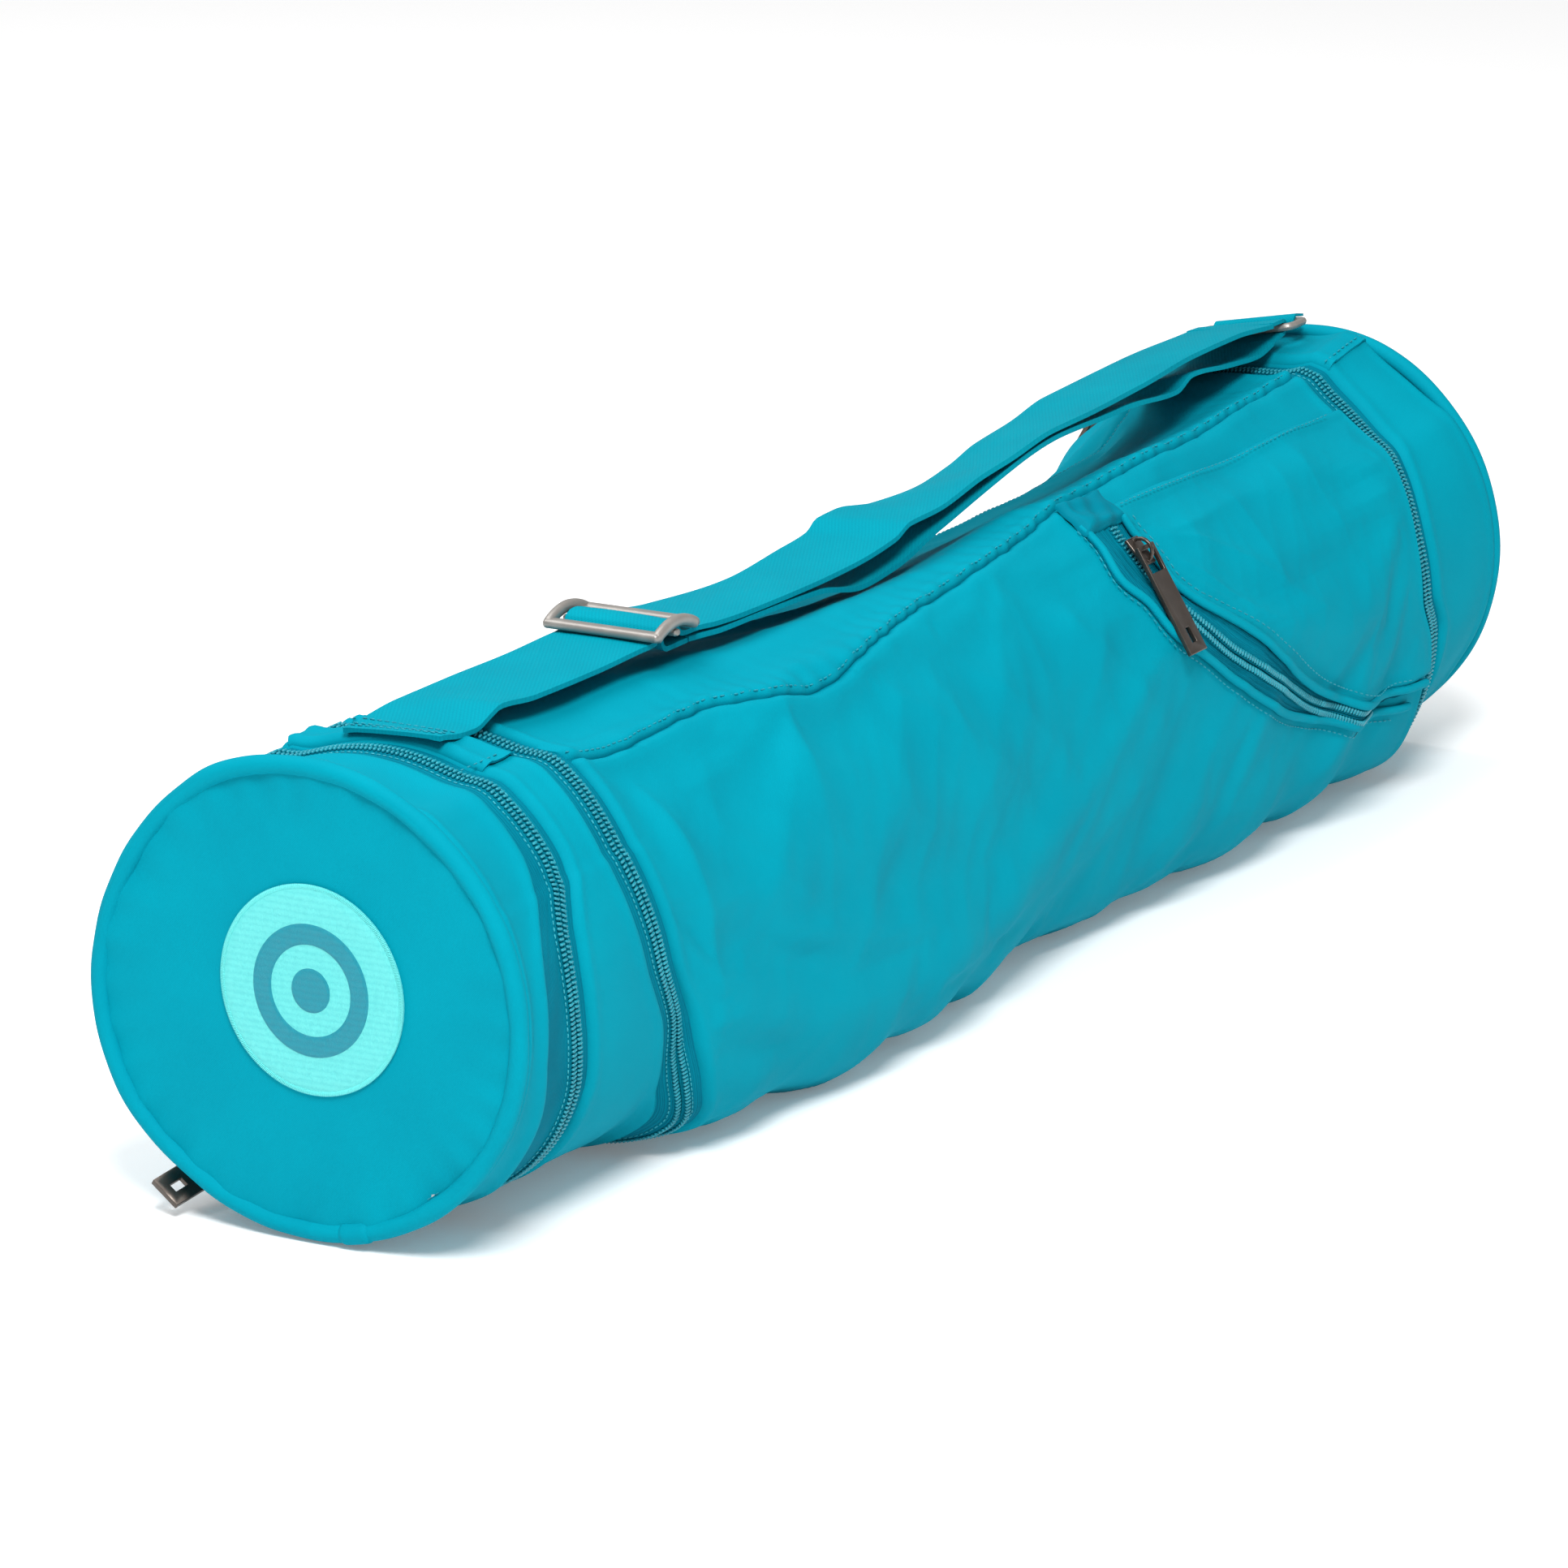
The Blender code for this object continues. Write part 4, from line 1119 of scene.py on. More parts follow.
@dataclass
class ZipRing:
    """A zip that runs right round the bag, in two halves that part."""

    spec: ZipLine
    form: BagForm
    palette: Palette
    columns: int = 288

    def build(self) -> dict[str, list[bpy.types.Object]]:
        """Builds both halves.

        Returns:
            The pieces by the body they ride on.
        """
        made: dict[str, list[bpy.types.Object]] = {}
        for side, body, word in ((-1, self.spec.low_body, "near"), (1, self.spec.high_body, "far")):
            pieces = [self._tape(side, word), self._coil(side, word), self._stitches(side, word)]
            for piece in pieces:
                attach(piece, body)
            made.setdefault(body, []).extend(pieces)
        return made

    def _tape(self, side: int, word: str) -> bpy.types.Object:
        """The woven tape of one half, which passes under the cloth's folded edge."""
        deg = np.linspace(-180.0, 180.0, self.columns, endpoint=False)
        share = np.linspace(0.0, 1.0, 14)
        reach = self.spec.reach(deg, side) + 0.0035
        across = self.spec.tape_start + share[:, None] * (reach - self.spec.tape_start)[None, :]
        x = self.spec.x_at(deg)[None, :] + side * across
        lift = -0.0014 + 0.0007 * np.exp(-((across - 0.0018) / 0.0016) ** 2)
        lift = lift + 0.00018 * np.sin(across * 2 * math.pi / 0.0021)
        grid = np.broadcast_to(deg[None, :], x.shape)
        outer = self.form.at(x, grid, lift)
        inner = self.form.at(x, grid, lift - 0.0008)
        cloth = np.stack([across, np.broadcast_to(np.radians(deg) * 0.08, x.shape)], -1)
        seam = np.stack([across[:, 0], np.full(len(share), math.pi * 0.08)], -1)
        cloth = np.concatenate([cloth, seam[:, None]], 1)
        return solid_sheet(f"{self.spec.name}_tape_{word}", outer, inner, cloth, self.palette.tape, wrap=True)

    def _coil(self, side: int, word: str) -> bpy.types.Object:
        """The coil's turns along one half."""
        deg = np.linspace(-180.0, 180.0, 720, endpoint=False)
        x = self.spec.x_at(deg) + side * self.spec.coil_offset
        path = evenly(self.form.at(x, deg, -0.0002), self.spec.pitch, True)
        _, around = self.form.locate(path)
        outs = self.form.out(around)
        ahead = unit(np.roll(path, -1, 0) - np.roll(path, 1, 0))
        longs = unit(np.cross(outs, ahead)) + side * ahead * 0.12
        return grains(f"{self.spec.name}_coil_{word}", path, longs, outs, self.spec.coil, self.palette.coil)

    def _stitches(self, side: int, word: str) -> bpy.types.Object:
        """The row of stitches that holds the coil to its tape."""
        deg = np.linspace(-180.0, 180.0, 720, endpoint=False)
        x = self.spec.x_at(deg) + side * (self.spec.coil_offset + 0.0024)
        path = evenly(self.form.at(x, deg, -0.0011), 0.0023, True)
        _, around = self.form.locate(path)
        ahead = np.roll(path, -1, 0) - np.roll(path, 1, 0)
        bead = Bead(0.00085, 0.00028, 0.00028)
        name = f"{self.spec.name}_stitches_{word}"
        return grains(name, path, ahead, self.form.out(around), bead, self.palette.pale_thread)


@dataclass(frozen=True)
class ClothBand:
    """A length of bag cloth between two lines, each given by angle, over a range of angles."""

    name: str
    start: Stations
    end: Stations
    turns: tuple[float, float] = (-180.0, 180.0)
    rows: int = 24
    columns: int = 288
    thickness: float = 0.0011
    bulge: float = 0.0
    fold: float = 0.0009
    dip: float = 0.0016


@dataclass
class ClothMaker:
    """Cuts bands of cloth on the bag's form, with folded edges."""

    form: BagForm
    palette: Palette

    def band(self, spec: ClothBand, finish: bpy.types.Material | None = None, lift: float = 0.0,
             sides_dip: bool = False) -> bpy.types.Object:
        """Makes a band.

        Args:
            spec: The band.
            finish: Its material, the bag cloth if none.
            lift: How far outside the form it lies.
            sides_dip: Whether its two long sides turn in as at a seam.

        Returns:
            The object.
        """
        whole = spec.turns[1] - spec.turns[0] >= 360.0
        deg = np.linspace(*spec.turns, spec.columns, endpoint=not whole)
        turned = half_turn(deg)
        start, end = along_stations(spec.start, turned), along_stations(spec.end, turned)
        share = 0.5 - 0.5 * np.cos(np.linspace(0.0, math.pi, spec.rows))
        share = share * 0.35 + np.linspace(0.0, 1.0, spec.rows) * 0.65
        x = start[None, :] + share[:, None] * (end - start)[None, :]
        from_edge = np.minimum(x - start[None, :], end[None, :] - x)
        height = self.edge_height(from_edge, spec.fold, spec.dip)
        width = np.maximum(end - start, 0.001)[None, :]
        height = height + spec.bulge * np.sin(math.pi * (x - start[None, :]) / width) + lift
        if sides_dip:
            side = np.radians(np.minimum(deg - spec.turns[0], spec.turns[1] - deg)) * 0.08
            height = height + self.edge_height(side, spec.fold * 0.5, spec.dip)[None, :]
        grid = np.broadcast_to(deg[None, :], x.shape)
        outer = self.form.at(x, grid, height)
        inner = self.form.at(x, grid, height - spec.thickness)
        cloth = np.stack([x, np.radians(grid) * 0.08], -1)
        if whole:
            last = np.stack([x[:, 0], np.full(len(x), math.radians(spec.turns[1]) * 0.08)], -1)
            cloth = np.concatenate([cloth, last[:, None]], 1)
        return solid_sheet(spec.name, outer, inner, cloth, finish or self.palette.cloth, wrap=whole)

    @staticmethod
    def edge_height(from_edge: Array, fold: float, dip: float) -> Array:
        """The height of a folded edge: it turns in at the very edge and stands proud just behind it."""
        turned_in = -dip * np.exp(-(np.maximum(from_edge, 0.0) / 0.0011) ** 2)
        proud = fold * np.exp(-((from_edge - 0.0032) / 0.0024) ** 2)
        return turned_in + proud

    def stitches(self, name: str, x: Array, deg: Array, lift: float, pitch: float = 0.0032,
                 pale: bool = False) -> bpy.types.Object:
        """A row of sewing stitches along a line on the bag.

        Args:
            name: The piece's name.
            x: Lengths along the line.
            deg: Angles along the line.
            lift: How far outside the form it lies.
            pitch: One stitch's length with its gap.
            pale: Whether the thread is the pale one.

        Returns:
            The object.
        """
        path = evenly(self.form.at(x, deg, lift), pitch)
        _, around = self.form.locate(path)
        bead = Bead(pitch * 0.36, 0.0003, 0.00032)
        ahead = np.gradient(path, axis=0)
        finish = self.palette.pale_thread if pale else self.palette.thread
        return grains(name, path, ahead, self.form.out(around), bead, finish)


def flat(value: float) -> Stations:
    """One value at every angle."""
    return ((-180.0, value), (180.0, value))


def shifted(line: Stations, by: float | Stations) -> Stations:
    """A line moved along the bag by an amount, or by an amount that changes with the angle."""
    if isinstance(by, float):
        return tuple((deg, x + by) for deg, x in line)
    degs = sorted({deg for deg, _ in line} | {deg for deg, _ in by})
    first, second = np.array(line).T, np.array(by).T
    return tuple((deg, float(np.interp(deg, *first) + np.interp(deg, *second))) for deg in degs)


EXTENSION_LINE: Stations = ((-180.0, 0.0460), (-140.0, 0.0440), (-90.0, 0.0440), (-40.0, 0.0470),
                            (0.0, 0.0500), (30.0, 0.0508), (54.0, 0.0500), (61.0, 0.0481), (67.5, 0.0436),
                            (74.0, 0.0404), (82.0, 0.0396), (92.0, 0.0412), (104.0, 0.0443),
                             (115.0, 0.0472), (140.0, 0.0480),
                            (180.0, 0.0460))
LID_LINE: Stations = ((-180.0, 0.1300), (-140.0, 0.1120), (-90.0, 0.0960), (-40.0, 0.0850), (0.0, 0.0835),
                      (20.0, 0.0868), (36.0, 0.0893), (60.0, 0.0874), (72.0, 0.0898), (84.0, 0.0938),
                      (91.4, 0.0970), (98.3, 0.1020), (105.5, 0.1080), (114.7, 0.1136), (123.5, 0.1205),
                      (138.0, 0.1300), (180.0, 0.1300))
FAR_LINE: Stations = ((-180.0, 0.6685), (-140.0, 0.6680), (-90.0, 0.6660), (-40.0, 0.6700), (0.0, 0.6750),
                      (20.0, 0.6755), (46.0, 0.6691), (56.0, 0.6640), (77.0, 0.6570), (91.0, 0.6590),
                      (103.0, 0.6670), (140.0, 0.6690), (180.0, 0.6685))
# How far the extension zip's near tape shows, by angle. On the lower front, from about 52 to 150 degrees, the
# dark ribbed tape is widened to cover the shaded recess there: partly real tape, partly painted shade.
CAP_TAPE_AND_SHADE_REACH: Stations = ((-180.0, 0.0085), (-60.0, 0.0085), (30.0, 0.0085), (52.0, 0.0100), (72.0, 0.0170),
                            (100.0, 0.0225), (128.0, 0.0200), (150.0, 0.0090), (180.0, 0.0085))
PANEL_SEAM: Stations = ((0.0509, 27.0), (0.0806, 30.1), (0.0944, 34.1), (0.1259, 36.2), (0.1766, 35.5),
                        (0.2142, 41.0), (0.2438, 44.0), (0.2850, 39.5), (0.3249, 35.3), (0.3707, 32.5),
                        (0.4187, 28.7), (0.4622, 24.0), (0.5081, 22.4), (0.5537, 21.4), (0.6166, 17.7),
                        (0.6700, 15.5), (0.7063, 16.5))
BACK_SEAM_DEG = -31.0
SIDE_TAPE = 0.0085


@dataclass
class NearCap:
    """The near end: a board-stiffened disc with piping, its band, the patch and the zip's outer half."""

    form: BagForm
    palette: Palette
    cloth: ClothMaker
    rows: int = 34
    columns: int = 216
    piping_radius: float = 0.0033
    patch_y: float = -0.0045
    patch_z: float = 0.0868
    patch_radius: float = 0.0355
    face_x: float = -0.3600
    joint_deg: float = 168.0

    def build(self) -> list[bpy.types.Object]:
        """Builds the cap's pieces and gives them to its body."""
        disc = self._disc()
        piping = self._piping()
        piping_end = self._piping_end()
        seam = self._rim_stitches()
        band = self._band()
        patch, edge, motif = self._patch()
        pieces = [disc, piping, piping_end, seam, band, patch, edge, motif]
        for piece in pieces:
            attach(piece, "near_cap")
        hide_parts("near_disc")
        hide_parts("near_piping")
        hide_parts("near_band")
        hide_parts("embroidered_patch")
        return pieces

    def _face(self, y: Array, z: Array, lift: Array | float = 0.0) -> Array:
        """Points on the disc's outside, lifted outwards."""
        rim = self.form.rims[0]
        away_y, away_z = (y - rim.y) / rim.half_width, (z - rim.z) / rim.half_height
        turn = np.arctan2(-away_y, away_z)
        share = np.sqrt(away_y ** 2 + away_z ** 2) * rim.half_width / rim.size(np.degrees(turn))[0]
        edge = smooth_step(share, 0.72, 0.97)
        pucker = edge * (1.0 - smooth_step(share, 0.95, 0.99))
        dent = 0.0006 * np.sin(y * 41.0 + 1.0) * np.cos(z * 33.0 - 0.6) + 0.0008 * (1.0 - share ** 2)
        gather = 0.00035 * np.sin(31.0 * turn + 2.0 * np.sin(3.0 * turn)) + 0.0005 * np.sin(9.0 * turn + 1.2)
        low_crease = 0.0011 * np.exp(-((turn - 2.45) / 0.11) ** 2) * smooth_step(share, 0.45, 0.9)
        side_crease = 0.0009 * np.exp(-((turn + 1.95) / 0.09) ** 2) * smooth_step(share, 0.4, 0.8)
        groove = -0.0024 * smooth_step(share, 0.955, 0.99)
        out = dent + gather * pucker - low_crease * pucker - side_crease * pucker + groove
        x = self.face_x + 0.0012 - out - lift
        return np.stack([x, y, z], -1)

    def _disc(self) -> bpy.types.Object:
        """The cloth disc with its sunk seam."""
        rim = self.form.rims[0]
        share = np.concatenate([[0.03], np.linspace(0.1, 0.86, 14), np.linspace(0.885, 0.992, 15)])
        deg = np.linspace(-180.0, 180.0, self.columns, endpoint=False)
        turn = np.radians(deg)
        half_width, half_height = rim.size(deg)
        y = rim.y - share[:, None] * (half_width * np.sin(turn))[None, :]
        z = rim.z + share[:, None] * (half_height * np.cos(turn))[None, :]
        outer = self._face(y, z)
        inner = outer + (0.0011, 0.0, 0.0)
        cloth = closed_map(np.stack([y, z], -1))
        return solid_sheet("near_disc_cloth", outer, inner, cloth, self.palette.cloth, wrap=True, capped=True)

    def _rim_path(self, deg: Array, out: float, x: float) -> Array:
        """A ring of points round the disc's rim."""
        rim = self.form.rims[0]
        turn = np.radians(deg)
        half_width, half_height = rim.size(deg)
        y = rim.y - (half_width + out) * np.sin(turn)
        z = rim.z + (half_height + out) * np.cos(turn)
        return np.stack([np.full_like(y, x), y, z], -1)

    def _piping(self) -> bpy.types.Object:
        """The corded piping round the disc."""
        deg = np.linspace(-180.0, 180.0, 360, endpoint=False)
        path = self._rim_path(deg, -0.0022, self.face_x + 0.0022)
        path[:, 0] += 0.0003 * np.sin(np.radians(deg) * 7.0)
        outs = self.form.out(deg)
        swell = 1.0 + 0.025 * np.sin(np.radians(deg) * 11.0) + 0.02 * np.sin(np.radians(deg) * 23.0)
        bar = Bar(self.piping_radius, self.piping_radius, 14)
        return sweep("near_piping_cord", path, outs, bar, self.palette.cloth, True, swell)

    def _piping_end(self) -> bpy.types.Object:
        """The lap where the piping's two ends meet."""
        deg = np.linspace(self.joint_deg - 2.4, self.joint_deg + 2.4, 12)
        path = self._rim_path(deg, -0.0022, self.face_x + 0.0022)
        bar = Bar(self.piping_radius + 0.0006, self.piping_radius + 0.0006, 14)
        return sweep("near_piping_lap", path, self.form.out(deg), bar, self.palette.cloth)

    def _rim_stitches(self) -> bpy.types.Object:
        """The stitches in the groove behind the piping."""
        deg = np.linspace(-180.0, 180.0, 720, endpoint=False)
        path = evenly(self._rim_path(deg, -0.0062, self.face_x + 0.0030), 0.0034, True)
        ahead = np.roll(path, -1, 0) - np.roll(path, 1, 0)
        outs = np.tile((-1.0, 0.0, 0.0), (len(path), 1))
        bead = Bead(0.0012, 0.0003, 0.0003)
        return grains("near_rim_stitches", path, ahead, outs, bead, self.palette.thread)

    def _band(self) -> bpy.types.Object:
        """The cloth band between the disc and the zip."""
        end = shifted(shifted(EXTENSION_LINE, 0.0), tuple((deg, -reach) for deg, reach in CAP_TAPE_AND_SHADE_REACH))
        spec = ClothBand("near_band_cloth", flat(0.0040), end, rows=18, bulge=-0.0022)
        return self.cloth.band(spec)

    def _patch(self) -> tuple[bpy.types.Object, bpy.types.Object, bpy.types.Object]:
        """The round patch, its satin edge and a plain sewn ring on it."""
        share = np.concatenate([[0.03], np.linspace(0.12, 0.975, 16), [1.0]])
        turn = np.linspace(0.0, 2 * math.pi, 128, endpoint=False)
        y = self.patch_y - self.patch_radius * share[:, None] * np.sin(turn)[None, :]
        z = self.patch_z + self.patch_radius * share[:, None] * np.cos(turn)[None, :]
        height = 0.0011 * (1.0 - smooth_step(share, 0.93, 1.02))[:, None] + 0.0002
        outer = self._face(y, z, height)
        inner = self._face(y, z, -0.0002)
        cloth = closed_map(np.stack([y, z], -1))
        patch = solid_sheet("round_patch", outer, inner, cloth, self.palette.patch, wrap=True, capped=True)
        edge = self._satin("patch_edge", self.patch_radius - 0.0006, 0.0010, 0.0011, self.palette.patch)
        rings = [self._annulus("sewn_ring", 0.0155, 0.0225), self._annulus("sewn_dot", 0.0, 0.0075)]
        return patch, edge, join("sewn_motif", rings)

    def _satin(self, name: str, radius: float, half_width: float, lift: float,
               finish: bpy.types.Material) -> bpy.types.Object:
        """A satin-stitched edge of short radial threads."""
        count = int(2 * math.pi * radius / 0.00055)
        turn = np.linspace(0.0, 2 * math.pi, count, endpoint=False)
        out = np.stack([-np.sin(turn), np.cos(turn)], 1)
        centres = self._face(self.patch_y + radius * out[:, 0], self.patch_z + radius * out[:, 1],
                             lift - 0.0003)
        longs = np.stack([np.zeros(count), out[:, 0] - 0.25 * out[:, 1], out[:, 1] + 0.25 * out[:, 0]], 1)
        outs = np.tile((-1.0, 0.0, 0.0), (count, 1))
        return grains(name, centres, longs, outs, Bead(half_width, 0.0003, 0.0004), finish)

    def _annulus(self, name: str, low: float, high: float) -> bpy.types.Object:
        """A raised ring or dot of darker thread on the patch."""
        solid = low <= 0.0
        radii = np.linspace(max(low, 0.0006), high, 10)
        turn = np.linspace(0.0, 2 * math.pi, 96, endpoint=False)
        y = self.patch_y - radii[:, None] * np.sin(turn)[None, :]
        z = self.patch_z + radii[:, None] * np.cos(turn)[None, :]
        edge = np.minimum(radii - (0.0 if solid else low), high - radii)
        if solid:
            edge = high - radii
        height = 0.0013 + 0.0005 * smooth_step(edge, -0.0002, 0.0009)
        outer = self._face(y, z, height[:, None])
        inner = self._face(y, z, 0.0009)
        cloth = closed_map(np.stack([y, z], -1))
        return solid_sheet(name, outer, inner, cloth, self.palette.motif, wrap=True, capped=solid)


@dataclass
class NearLid:
    """The hinged near lid: its cloth band between two zips, and the folded gusset behind the outer zip."""

    form: BagForm
    palette: Palette
    cloth: ClothMaker
    gusset_inset: float = 0.0042

    def build(self) -> list[bpy.types.Object]:
        """Builds the lid's pieces and gives all but the inner gusset layer to its body."""
        band = self._band()
        panel = self._panel()
        seam = self._seam()
        for piece in (band, panel, seam):
            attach(piece, "near_lid")
        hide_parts("lid_band")
        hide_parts("lid_panel")
        outer = self._gusset("gusset_outer_layer", 0.0)
        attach(outer, "near_lid")
        inner = self._gusset("gusset_inner_layer", 0.0017)
        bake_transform(inner)
        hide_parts("extension_gusset")
        return [band, panel, seam, outer, inner]

    def _band(self) -> bpy.types.Object:
        """The cloth band between the two zips."""
        spec = ClothBand("lid_band_cloth", shifted(EXTENSION_LINE, SIDE_TAPE), shifted(LID_LINE, -SIDE_TAPE),
                         rows=20, bulge=0.0006)
        return self.cloth.band(spec)

    def _panel(self) -> bpy.types.Object:
        """The stiffer top panel that laps over the band, under the strap's end."""
        spec = ClothBand("lid_panel_cloth", shifted(EXTENSION_LINE, SIDE_TAPE + 0.0008),
                         shifted(LID_LINE, -SIDE_TAPE - 0.0008), (BACK_SEAM_DEG, 26.5),
                         14, 48, 0.0010, 0.0003)
        return self.cloth.band(spec, lift=0.0019)

    def _seam(self) -> bpy.types.Object:
        """The stitches along the panel's lower edge."""
        x = np.linspace(0.0500, 0.0700, 24)
        return self.cloth.stitches("lid_panel_stitches", x, np.full_like(x, 24.6), 0.0026)

    def _gusset(self, name: str, deeper: float) -> bpy.types.Object:
        """One layer of the cloth that lets the end slide out."""
        deg = np.linspace(-180.0, 180.0, 160, endpoint=False)
        x = np.linspace(0.0435, 0.0715, 12)[:, None] + 0.0 * deg[None, :]
        grid = np.broadcast_to(deg[None, :], x.shape)
        lift = -self.gusset_inset - deeper
        outer = self.form.at(x, grid, lift)
        inner = self.form.at(x, grid, lift - 0.0006)
        cloth = np.stack([x, np.radians(grid) * 0.08], -1)
        last = np.stack([x[:, 0], np.full(len(x), math.pi * 0.08)], -1)
        cloth = np.concatenate([cloth, last[:, None]], 1)
        return solid_sheet(name, outer, inner, cloth, self.palette.lining, wrap=True)


@dataclass
class FarLid:
    """The hinged far end: disc, piping, band and the tab that holds the strap's ring."""

    form: BagForm
    palette: Palette
    cloth: ClothMaker
    face_x: float = 0.3600
    piping_radius: float = 0.0033

    def build(self) -> list[bpy.types.Object]:
        """Builds the far end's pieces and gives them to its body."""
        disc = self._disc()
        piping = self._piping()
        band = self._band()
        panel = self._panel()
        seam = self._seam()
        pieces = [disc, piping, band, panel, seam]
        for piece in pieces:
            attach(piece, "far_lid")
        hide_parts("far_disc")
        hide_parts("far_piping")
        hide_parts("far_band")
        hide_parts("far_panel")
        return pieces

    def _disc(self) -> bpy.types.Object:
        """The cloth disc with its sunk seam."""
        rim = self.form.rims[1]
        share = np.concatenate([[0.03], np.linspace(0.1, 0.86, 12), np.linspace(0.885, 0.992, 13)])
        turn = np.linspace(-math.pi, math.pi, 180, endpoint=False)
        half_width, half_height = rim.size(np.degrees(turn))
        y = rim.y - share[:, None] * (half_width * np.sin(turn))[None, :]
        z = rim.z + share[:, None] * (half_height * np.cos(turn))[None, :]
        pucker = smooth_step(share, 0.72, 0.95) * (1.0 - smooth_step(share, 0.95, 0.99))
        gather = 0.00035 * np.sin(29.0 * turn + 2.0 * np.sin(4.0 * turn)) + 0.0005 * np.sin(8.0 * turn)
        dent = 0.0007 * np.sin(y * 39.0 + 2.0) * np.cos(z * 35.0) + 0.0008 * (1.0 - share[:, None] ** 2)
        groove = -0.0024 * smooth_step(share, 0.955, 0.99)[:, None]
        x = self.face_x - 0.0012 + dent + groove + pucker[:, None] * gather[None, :]
        outer = np.stack([x, y, z], -1)
        inner = outer - (0.0011, 0.0, 0.0)
        cloth = closed_map(np.stack([y, z], -1))
        return solid_sheet("far_disc_cloth", outer, inner, cloth, self.palette.cloth, wrap=True, capped=True)

    def _piping(self) -> bpy.types.Object:
        """The corded piping round the disc."""
        rim = self.form.rims[1]
        deg = np.linspace(-180.0, 180.0, 320, endpoint=False)
        turn = np.radians(deg)
        half_width, half_height = rim.size(deg)
        path = np.stack([np.full_like(turn, self.face_x - 0.0022),
                         rim.y - (half_width - 0.0022) * np.sin(turn),
                         rim.z + (half_height - 0.0022) * np.cos(turn)], -1)
        swell = 1.0 + 0.03 * np.sin(turn * 13.0)
        bar = Bar(self.piping_radius, self.piping_radius, 12)
        return sweep("far_piping_cord", path, self.form.out(deg), bar, self.palette.cloth, True, swell)

    def _band(self) -> bpy.types.Object:
        """The cloth band between the zip and the far disc."""
        spec = ClothBand("far_band_cloth", shifted(FAR_LINE, SIDE_TAPE), flat(0.7160), rows=20, bulge=0.0010)
        return self.cloth.band(spec)

    def _panel(self) -> bpy.types.Object:
        """The top panel that carries the ring's tab."""
        spec = ClothBand("far_panel_cloth", shifted(FAR_LINE, SIDE_TAPE + 0.0008), flat(0.7150),
                         (BACK_SEAM_DEG, 19.5), 14, 44, 0.0010, 0.0003)
        return self.cloth.band(spec, lift=0.0017)

    def _seam(self) -> bpy.types.Object:
        """The stitches along the panel's front edge."""
        x = np.linspace(0.6850, 0.7120, 24)
        return self.cloth.stitches("far_panel_stitches", x, np.full_like(x, 17.8), 0.0024)


